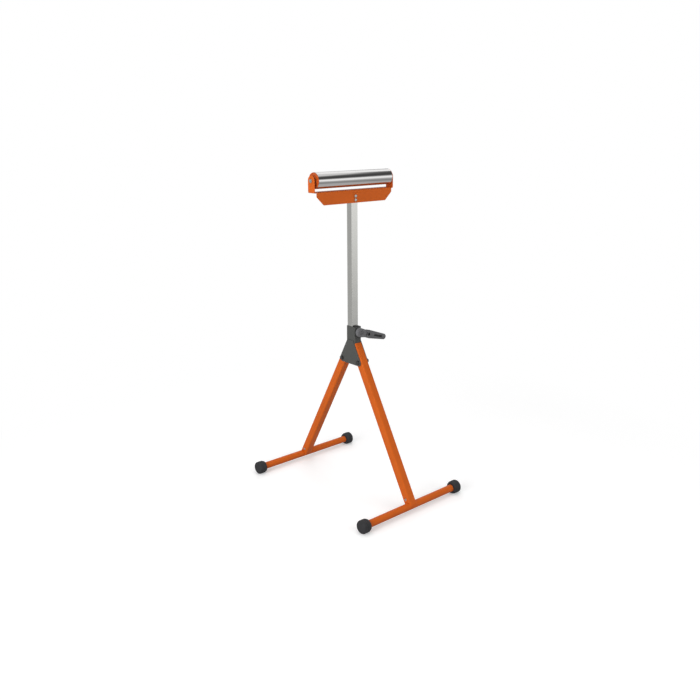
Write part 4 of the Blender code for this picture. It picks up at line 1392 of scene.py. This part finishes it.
def soften(corners: Sequence[Flat], radii: Sequence[float], steps: int) -> Outline:
    """Rounds the corners of an outline, each by its own radius.

    Args:
        corners: the sharp corners, in order.
        radii: a radius for each corner.
        steps: straight pieces in each corner.

    Returns:
        The points of the softened outline.
    """
    outline = []
    count = len(corners)
    for i, (corner, radius) in enumerate(zip(corners, radii)):
        here = Vector(corner)
        back = (Vector(corners[i - 1]) - here).normalized()
        ahead = (Vector(corners[(i + 1) % count]) - here).normalized()
        half = back.angle(ahead) / 2
        centre = here + (back + ahead).normalized() * (radius / math.sin(half))
        first = here + back * (radius / math.tan(half)) - centre
        last = here + ahead * (radius / math.tan(half)) - centre
        begin = math.atan2(first.y, first.x)
        sweep = (math.atan2(last.y, last.x) - begin + math.pi) % FULL_TURN - math.pi
        start, end = math.degrees(begin), math.degrees(begin + sweep)
        outline += arc((centre.x, centre.y), radius, start, end, steps)
    return outline


@dataclass
class Leg:
    """One leg with its foot bar, rubber caps, screw, and the pieces hidden inside it."""

    label: str
    sign: int
    wall: float = 1.5
    corner: float = 4.0
    side: float = 28.0
    tube_edge: float = 0.25
    bar_r: float = 12.0
    bar_edge: float = 0.3
    cope_steps: int = 24
    screw_head: float = 2.4
    screw_shank_r: float = 2.2
    screw_tip: Flat = (1.0, 1.2)
    screw_crown: tuple[Flat, ...] = ((0.0, 1.8), (0.3, 2.9), (0.9, 3.9))
    screw_rim: float = 1.6
    slot: Flat = (4.4, 0.9)
    slot_deep: float = 1.1
    cap_neck_r: float = 18.0
    cap_neck_edge: float = 0.8
    cap_swell: tuple[Flat, ...] = ((3.4, 20.2), (5.6, 21.2))
    cap_full: Flat = (7.4, 9.0)
    cap_rings: Flat = (13.0, 18.0)
    ring_half: float = 0.6
    ring_deep: float = 0.5
    dome: float = 7.5
    cap_end: float = 9.4
    caps: tuple[tuple[int, str], ...] = ((-1, "left"), (1, "right"))

    @property
    def body(self) -> str:
        """Name of the body that the leg rides on."""
        return self.label + "_leg"

    def build(self) -> None:
        """Builds every piece of the leg."""
        bar = Span.of(self.label + "_foot_bar")
        pivot = Span.of(self.label + "_pivot_spacer").middle
        self.make_tube(bar, pivot)
        self.make_bar(bar)
        self.make_screw()
        for side, place in self.caps:
            self.make_cap(bar, side, place)
        repaint(self.label + "_leg_insert", BLACK_PLASTIC)
        repaint(self.label + "_pivot_spacer", ZINC)

    def make_tube(self, bar: Span, pivot: Vector) -> None:
        """Square tube, coped over the bar and cut upright where it stops on the sleeve.

        Args:
            bar: box of the foot bar's solid.
            pivot: middle of the leg's pivot.
        """
        span = Span.of(self.label + "_leg_tube")
        sleeve = Span.of("clamp_sleeve")
        run = Vector((0.0, bar.middle.y - pivot.y, bar.middle.z - pivot.z))
        length, tilt = run.length, math.atan2(abs(run.y), abs(run.z))
        cope = self.bar_r + FIT
        form = Form().sleeve(Axis.Z, self.outline(span.size.x, cope), -length, 0.3 * length)
        for vert in form.work.verts:
            if vert.co.z < -length + 0.01 and abs(vert.co.y) < cope:
                vert.co.z += math.sqrt(cope**2 - vert.co.y**2)
        turned = Matrix.Rotation(self.sign * tilt, 4, "X")
        form.move(Matrix.Translation((0.0, pivot.y, pivot.z)) @ turned)
        stop = self.sign * (sleeve.size.y / 2 + FIT)
        form.slice((0.0, stop, 0.0), (0.0, -float(self.sign), 0.0), False)
        form.slice((0.0, 0.0, span.high.z), (0.0, 0.0, 1.0), False)
        trim = round_trim(self.wall, self.tube_edge)
        dress(form, self.label + "_leg_tube", self.body, ORANGE_PAINT, trim)

    def outline(self, width: float, cope: float) -> Outline:
        """Outline of the tube, with extra points along the sides that the cope is cut into.

        Args:
            width: the tube's width along X.
            cope: radius of the cope.

        Returns:
            The outline's points.
        """
        outline = []
        corners = rounded_box(width, self.side, self.corner, (0.0, 0.0))
        for here, ahead in zip(corners, corners[1:] + corners[:1]):
            outline.append(here)
            if abs(here[0] - ahead[0]) < 1e-6 and abs(here[1] - ahead[1]) > self.corner:
                rise = 1 if ahead[1] > here[1] else -1
                limit = math.degrees(math.asin(min(1.0, (abs(here[1]) - 0.2) / cope)))
                for k in range(1, self.cope_steps):
                    angle = math.radians(-limit + 2 * limit * k / self.cope_steps)
                    outline.append((here[0], rise * cope * math.sin(angle)))
        return outline

    def make_bar(self, bar: Span) -> None:
        """Round tube across the foot.

        Args:
            bar: box of the foot bar's solid.
        """
        low, high, radius = bar.low.x, bar.high.x, bar.size.z / 2
        inner, edge = radius - self.wall, self.bar_edge
        profile = [(low, inner), (low, radius - edge), (low + edge, radius)]
        profile += [(high - edge, radius), (high, radius - edge), (high, inner)]
        form = Form().spin(Axis.X, profile, bar.middle, 96)
        dress(form, self.label + "_foot_bar", self.body, ORANGE_PAINT)

    def make_screw(self) -> None:
        """Pan-head screw with a cross recess."""
        node = self.label + "_foot_screw"
        span = Span.of(node)
        radius, shank = span.size.z / 2, self.screw_shank_r
        front, tip = span.low.x, span.high.x
        seat = front + self.screw_head
        point_long, point_r = self.screw_tip
        profile = [(front, 0.0)] + [(front + back, r) for back, r in self.screw_crown]
        profile += [(front + self.screw_rim, radius), (seat, radius), (seat, shank)]
        profile += [(tip - point_long, shank), (tip, point_r), (tip, 0.0)]
        form = Form().spin(Axis.X, profile, span.middle, 56)
        middle = (span.middle.y, span.middle.z)
        slots = []
        for wide, tall in (self.slot, self.slot[::-1]):
            cross = rounded_box(wide, tall, 0.2, middle, 2)
            slots.append(Form().slab(Axis.X, cross, front - OVER, front + self.slot_deep))
        form.carve(*slots)
        dress(form, node, self.body, ZINC)

    def make_cap(self, bar: Span, side: int, place: str) -> None:
        """Moulded rubber cap: neck, round body with two shallow rings, domed end and flat tread.

        Args:
            bar: box of the foot bar's solid.
            side: -1 for the left end, 1 for the right end.
            place: left or right.
        """
        node = f"{self.label}_foot_cap_{place}"
        span = Span.of(node)
        radius = span.size.y / 2
        start = min(abs(span.low.x), abs(span.high.x))
        end = max(abs(span.low.x), abs(span.high.x))
        bore = self.bar_r + FIT
        floor = bar.size.x / 2 + FIT
        almost, full = (start + along for along in self.cap_full)
        profile = [(floor, 0.0), (floor, bore), (start, bore), (start, self.cap_neck_r)]
        profile += arc((start + self.cap_neck_edge, self.cap_neck_r), self.cap_neck_edge, 180, 120, 3)
        profile += [(start + along, r) for along, r in self.cap_swell]
        profile += [(almost, radius - 0.2), (full, radius)]
        for ring in (start + along for along in self.cap_rings):
            profile += [(ring - self.ring_half, radius), (ring, radius - self.ring_deep)]
            profile.append((ring + self.ring_half, radius))
        profile += arc((end - self.dome, radius - self.dome), self.dome, 90, 12, 10)
        profile += [(end, radius - self.cap_end), (end, 0.0)]
        form = Form().spin(Axis.X, [(side * x, r) for x, r in profile], bar.middle, 96)
        form.slice((0.0, 0.0, 0.0), (0.0, 0.0, -1.0), True)
        dress(form, node, self.body, CAP_RUBBER, Trim(sharp=math.radians(48)))


@dataclass
class Clamp:
    """Shoe, screw and the lever that turns it."""

    shoe_corner: float = 2.0
    shoe_edge: float = 0.5
    socket_deep: float = 3.0
    bore: float = 4.3
    droop: float = math.radians(17)
    hub_r: float = 15.0
    hub_skin: float = 2.6
    dish_r: float = 7.0
    dish_deep: float = 1.4
    neck_half: float = 13.0
    neck_end: float = 0.88
    setback: float = 4.0
    step: float = 1.6
    core_margin: float = 3.0
    core_short: float = 12.0
    arm_edge: float = 0.7
    grip_start: float = 26.0
    grip_half: float = 13.6
    grip_flare: Flat = (0.2, 0.6)
    grip_round: float = 2.6
    grip_edge: float = 0.3
    nose_r: float = 9.6
    length: float = 114.0
    eye_in: float = 8.0
    eye_r: float = 5.2
    recess_half: float = 5.6
    sunk: float = 2.2
    groove_in: float = 22.0
    groove_long: float = 36.0
    groove_half: float = 3.2
    button_skirt: float = 0.4
    button_steps: int = 8
    body: str = "lever"

    def build(self) -> None:
        """Builds the shoe and every piece of the lever."""
        self.make_shoe()
        repaint("clamp_screw", ZINC)
        hub = Span.of("lever_button").middle
        hang = Matrix.Translation((0.0, 0.0, hub.z)) @ Matrix.Rotation(self.droop, 4, "Y")
        self.make_arm(hang)
        self.make_grip(hang)
        self.make_button()

    def make_shoe(self) -> None:
        """Block that the screw presses on the mast."""
        span = Span.of("clamp_shoe")
        low, high = span.low.y, span.high.y
        centre = (0.0, span.middle.z)
        outline = rounded_box(span.size.x, span.size.z, self.shoe_corner, centre, 5)
        form = Form().slab(Axis.Y, outline, low, high)
        form.carve(drill(Axis.Y, self.bore, low - OVER, low + self.socket_deep, span.middle, 40))
        dress(form, "clamp_shoe", "shoe", BLACK_PLASTIC, Trim(edge=self.shoe_edge))

    def make_arm(self, hang: Matrix) -> None:
        """Cast arm: round hub, thinner neck, and the flat bar that the grip covers.

        Args:
            hang: turns and lifts the level lever to its place.
        """
        span = Span.of("lever_arm")
        front, back = span.low.y, span.high.y
        tangent = math.degrees(math.acos((self.hub_r - self.neck_half) / self.grip_start))
        outline = arc((0.0, 0.0), self.hub_r, tangent, 360 - tangent, 56)
        end_half = self.neck_half * self.neck_end
        outline += [(self.grip_start, -end_half), (self.grip_start, end_half)]
        form = Form().slab(Axis.Y, outline, front, back)
        form.draw_block(Axis.X, self.core_margin, self.length - self.core_short - self.grip_start)
        near, far = self.hub_r + self.setback, self.grip_start + 2 * FIT
        neck = rounded_box(far - near, 4 * self.hub_r, 0.1, ((near + far) / 2, 0.0), 1)
        hub = (0.0, 0.0, 0.0)
        form.carve(
            Form().slab(Axis.Y, neck, front - 3 * OVER, front + self.step),
            Form().slab(Axis.Y, neck, back - self.step, back + 3 * OVER),
            drill(Axis.Y, self.dish_r, front - OVER, front + self.dish_deep, hub, 56),
            drill(Axis.Y, self.bore, front + self.hub_skin, back + OVER, hub, 40),
        )
        form.move(hang)
        dress(form, "lever_arm", self.body, LEVER_PAINT, Trim(edge=self.arm_edge, segments=3))

    def make_grip(self, hang: Matrix) -> None:
        """Moulded grip: round nose, soft edges, an eye at its root and a long finger groove.

        Args:
            hang: turns and lifts the level lever to its place.
        """
        span = Span.of("lever_grip")
        front, back = span.low.y, span.high.y
        start, nose = self.grip_start + FIT, self.length - self.nose_r
        swell, narrow = self.grip_flare
        side = [(start + self.grip_half, self.grip_half + swell), (start, self.grip_half - narrow)]
        outline = [(x, -z) for x, z in reversed(side)]
        outline += arc((nose, 0.0), self.nose_r, -90, 90, 28) + side
        form = Form().slab(Axis.Y, outline, front, back)
        form.round_edges(self.grip_round, 6, lambda edge: self.on_rim(edge, (front, back)))
        floor = front + self.sunk
        eye = (start + self.eye_in, 0.0, 0.0)
        middle = ((start + self.groove_in + nose) / 2, 0.0)
        half = self.groove_half
        slot = rounded_box(self.groove_long, 2 * half, half - 0.05, middle, 10)
        form.carve(
            drill(Axis.Y, self.eye_r, front - OVER, floor, eye, 48),
            Form().slab(Axis.Y, slot, front - OVER, floor),
        )
        form.move(hang)
        pivot = (0.0, Span.of("lever_button").middle.z)
        # The eye and the groove get painted shade through the finish's recess mask.
        finish = replace(GRIP_PLASTIC, recess=Recess(pivot, self.droop, self.recess_half, front))
        dress(form, "lever_grip", self.body, finish, round_trim(0.0, self.grip_edge, 3))

    def on_rim(self, edge: bmesh.types.BMEdge, rims: Flat) -> bool:
        """Whether an edge runs round the front or the back face."""
        return any(all(abs(vert.co.y - y) < 1e-3 for vert in edge.verts) for y in rims)

    def make_button(self) -> None:
        """Domed cover in the hub."""
        span = Span.of("lever_button")
        front, seat, radius = span.low.y, span.high.y, span.size.x / 2
        rise, skirt = seat - front, self.button_skirt
        profile = [(seat, 0.0), (seat, radius), (seat - rise * skirt, radius)]
        for k in range(1, self.button_steps):
            angle = math.pi / 2 * k / self.button_steps
            up = skirt + (1.0 - skirt) * math.sin(angle)
            profile.append((seat - rise * up, radius * math.cos(angle) ** 0.6))
        profile.append((front, 0.0))
        dress(Form().spin(Axis.Y, profile, span.middle, 56), "lever_button", self.body, BUTTON_PLASTIC)


@dataclass(frozen=True)
class Lamp:
    """One soft area lamp that faces the stand."""

    name: str
    place: tuple[float, float, float]
    wide: float
    watts: float

    def hang(self, target: Point) -> None:
        """Adds the lamp to the scene, turned to a point.

        Args:
            target: the point that it faces.
        """
        data = bpy.data.lights.new(self.name, "AREA")
        data.shape = "SQUARE"
        data.size = self.wide
        data.energy = self.watts
        lamp = bpy.data.objects.new(self.name, data)
        lamp.location = self.place
        aim = Vector(target) - Vector(self.place)
        lamp.rotation_euler = aim.to_track_quat("-Z", "Y").to_euler()
        lamp.visible_glossy = False
        bpy.context.scene.collection.objects.link(lamp)


@dataclass
class Studio:
    """Floor, world, lamps and camera."""

    floor_half: float = 3.0
    floor_pale: float = 0.9
    floor_glow: float = 0.24
    floor_dim: float = 0.42
    floor_fade: Flat = (0.75, 1.5)
    soft_light: float = 0.36
    window: float = 0.95
    corner: float = 0.42
    target: tuple[float, float, float] = (0.0, 0.0, 0.5)
    camera_place: tuple[float, float, float] = (-1.5919, -1.8542, 1.2032)
    heading: float = math.radians(-40.678)
    dip: float = math.radians(16.393)
    roll: float = math.radians(-0.256)
    lens: float = 39.237
    shift: Flat = (-0.00624, 0.0)
    walls: tuple[Flat, ...] = (
        (-1.0, 0.42),
        (-0.74, 0.44),
        (-0.62, 0.4),
        (-0.5, 0.22),
        (-0.36, 0.32),
        (-0.27, 0.4),
        (-0.22, 0.5),
        (-0.15, 0.74),
        (-0.09, 0.9),
        (0.0, 0.94),
        (0.08, 0.95),
        (0.16, 0.62),
        (0.22, 0.3),
        (0.32, 0.08),
        (0.42, 0.055),
        (0.55, 0.06),
        (0.66, 0.12),
        (0.72, 0.3),
        (0.77, 0.66),
    )
    lamps: tuple[Lamp, ...] = (
        Lamp("window_left", (-2.7, -0.5, 0.75), 2.2, 72.0),
        Lamp("fill_front", (0.9, -3.2, 1.6), 2.4, 38.0),
        Lamp("top", (0.0, 0.3, 3.4), 2.6, 27.0),
        Lamp("rear_fill", (1.8, 2.6, 1.8), 2.2, 26.0),
    )

    def build(self) -> None:
        """Sets the whole studio up."""
        self.make_world()
        self.make_floor()
        for lamp in self.lamps:
            lamp.hang(self.target)
        self.make_camera()
        bpy.context.scene.view_settings.view_transform = "Standard"

    def make_world(self) -> None:
        """White for the camera, soft grey light, and for gloss a banded room with a window behind it."""
        scene = bpy.context.scene
        world = scene.world or bpy.data.worlds.new("studio")
        scene.world = world
        world.use_nodes = True
        graph = Graph(world.node_tree)
        x, y, z = graph.split(graph.node("ShaderNodeTexCoord", output="Generated"))
        height = z * 0.5 + 0.5
        stops = [((level + 1) / 2, grey) for level, grey in self.walls]
        walls = graph.node("ShaderNodeValToRGB", {"stops": stops}, {0: height})
        side = y.step(0.2, 0.5) * (1.0 - x.step(-0.45, -0.2))
        corner = side * z.step(-0.5, -0.3) * (1.0 - z.step(0.05, 0.2))
        window = x.step(0.3, 0.5) * y.step(-0.02, 0.12) * z.step(0.3, 0.45)
        gloss = (walls * (1.0 - window) + window * self.window) * (1.0 - corner) + corner * self.corner
        room = graph.node("ShaderNodeBackground", None, {"Color": WHITE, "Strength": gloss})
        soft = graph.node("ShaderNodeBackground", None, {"Color": WHITE, "Strength": self.soft_light})
        plain = graph.node("ShaderNodeBackground", None, {"Color": WHITE, "Strength": 1.0})
        glossy_ray = graph.node("ShaderNodeLightPath", output="Is Glossy Ray")
        camera_ray = graph.node("ShaderNodeLightPath", output="Is Camera Ray")
        inner = graph.node("ShaderNodeMixShader", None, {0: glossy_ray, 1: soft, 2: room})
        outer = graph.node("ShaderNodeMixShader", None, {0: camera_ray, 1: inner, 2: plain})
        graph.node("ShaderNodeOutputWorld", None, {"Surface": outer})

    def make_floor(self) -> None:
        """Floor that keeps the shadow, fades to white for the camera, and is dim to other rays."""
        work = bmesh.new()
        bmesh.ops.create_grid(work, x_segments=1, y_segments=1, size=self.floor_half)
        mesh = bpy.data.meshes.new("floor")
        work.to_mesh(mesh)
        work.free()
        floor = bpy.data.objects.new("floor", mesh)
        bpy.context.scene.collection.objects.link(floor)
        material = bpy.data.materials.new("pale_floor")
        material.use_nodes = True
        graph = Graph(material.node_tree)
        matte = graph.node("ShaderNodeBsdfDiffuse", None, {"Color": (*[self.floor_pale] * 3, 1.0)})
        glow = graph.node("ShaderNodeEmission", None, {"Color": WHITE, "Strength": self.floor_glow})
        near = graph.node("ShaderNodeAddShader", None, {0: matte, 1: glow})
        white = graph.node("ShaderNodeEmission", None, {"Color": WHITE, "Strength": 1.0})
        where = graph.node("ShaderNodeTexCoord", output="Object")
        reach = graph.node("ShaderNodeVectorMath", {"operation": "LENGTH"}, {0: where}, "Value")
        lit = graph.node("ShaderNodeMixShader", None, {0: reach.step(*self.floor_fade), 1: near, 2: white})
        camera_ray = graph.node("ShaderNodeLightPath", output="Is Camera Ray")
        dim = graph.node("ShaderNodeBsdfDiffuse", None, {"Color": (*[self.floor_dim] * 3, 1.0)})
        seen = graph.node("ShaderNodeMixShader", None, {0: camera_ray, 1: dim, 2: lit})
        graph.node("ShaderNodeOutputMaterial", None, {"Surface": seen})
        mesh.materials.append(material)
        floor.visible_glossy = False

    def make_camera(self) -> None:
        """Camera at the photograph's place, heading and field of view."""
        data = bpy.data.cameras.new("photo_camera")
        data.lens = self.lens
        data.sensor_width = 36.0
        data.shift_x, data.shift_y = self.shift
        camera = bpy.data.objects.new("photo_camera", data)
        level_run = math.cos(self.dip)
        aside, ahead = -math.sin(self.heading) * level_run, math.cos(self.heading) * level_run
        look = Vector((aside, ahead, -math.sin(self.dip)))
        level = look.to_track_quat("-Z", "Y").to_matrix().to_4x4()
        turned = level @ Matrix.Rotation(self.roll, 4, "Z")
        camera.matrix_world = Matrix.Translation(self.camera_place) @ turned
        bpy.context.scene.collection.objects.link(camera)
        bpy.context.scene.camera = camera


def main() -> None:
    """Builds the stand in order."""
    logging.basicConfig(level=logging.INFO, format="%(name)s: %(message)s")
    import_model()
    for unit in (Roller(), Head(), Mast(), Base(), Leg("front", -1), Leg("rear", 1), Clamp(), Studio()):
        LOG.info("building the %s", type(unit).__name__.lower())
        unit.build()
    bpy.context.view_layer.update()


if __name__ == "__main__":
    main()
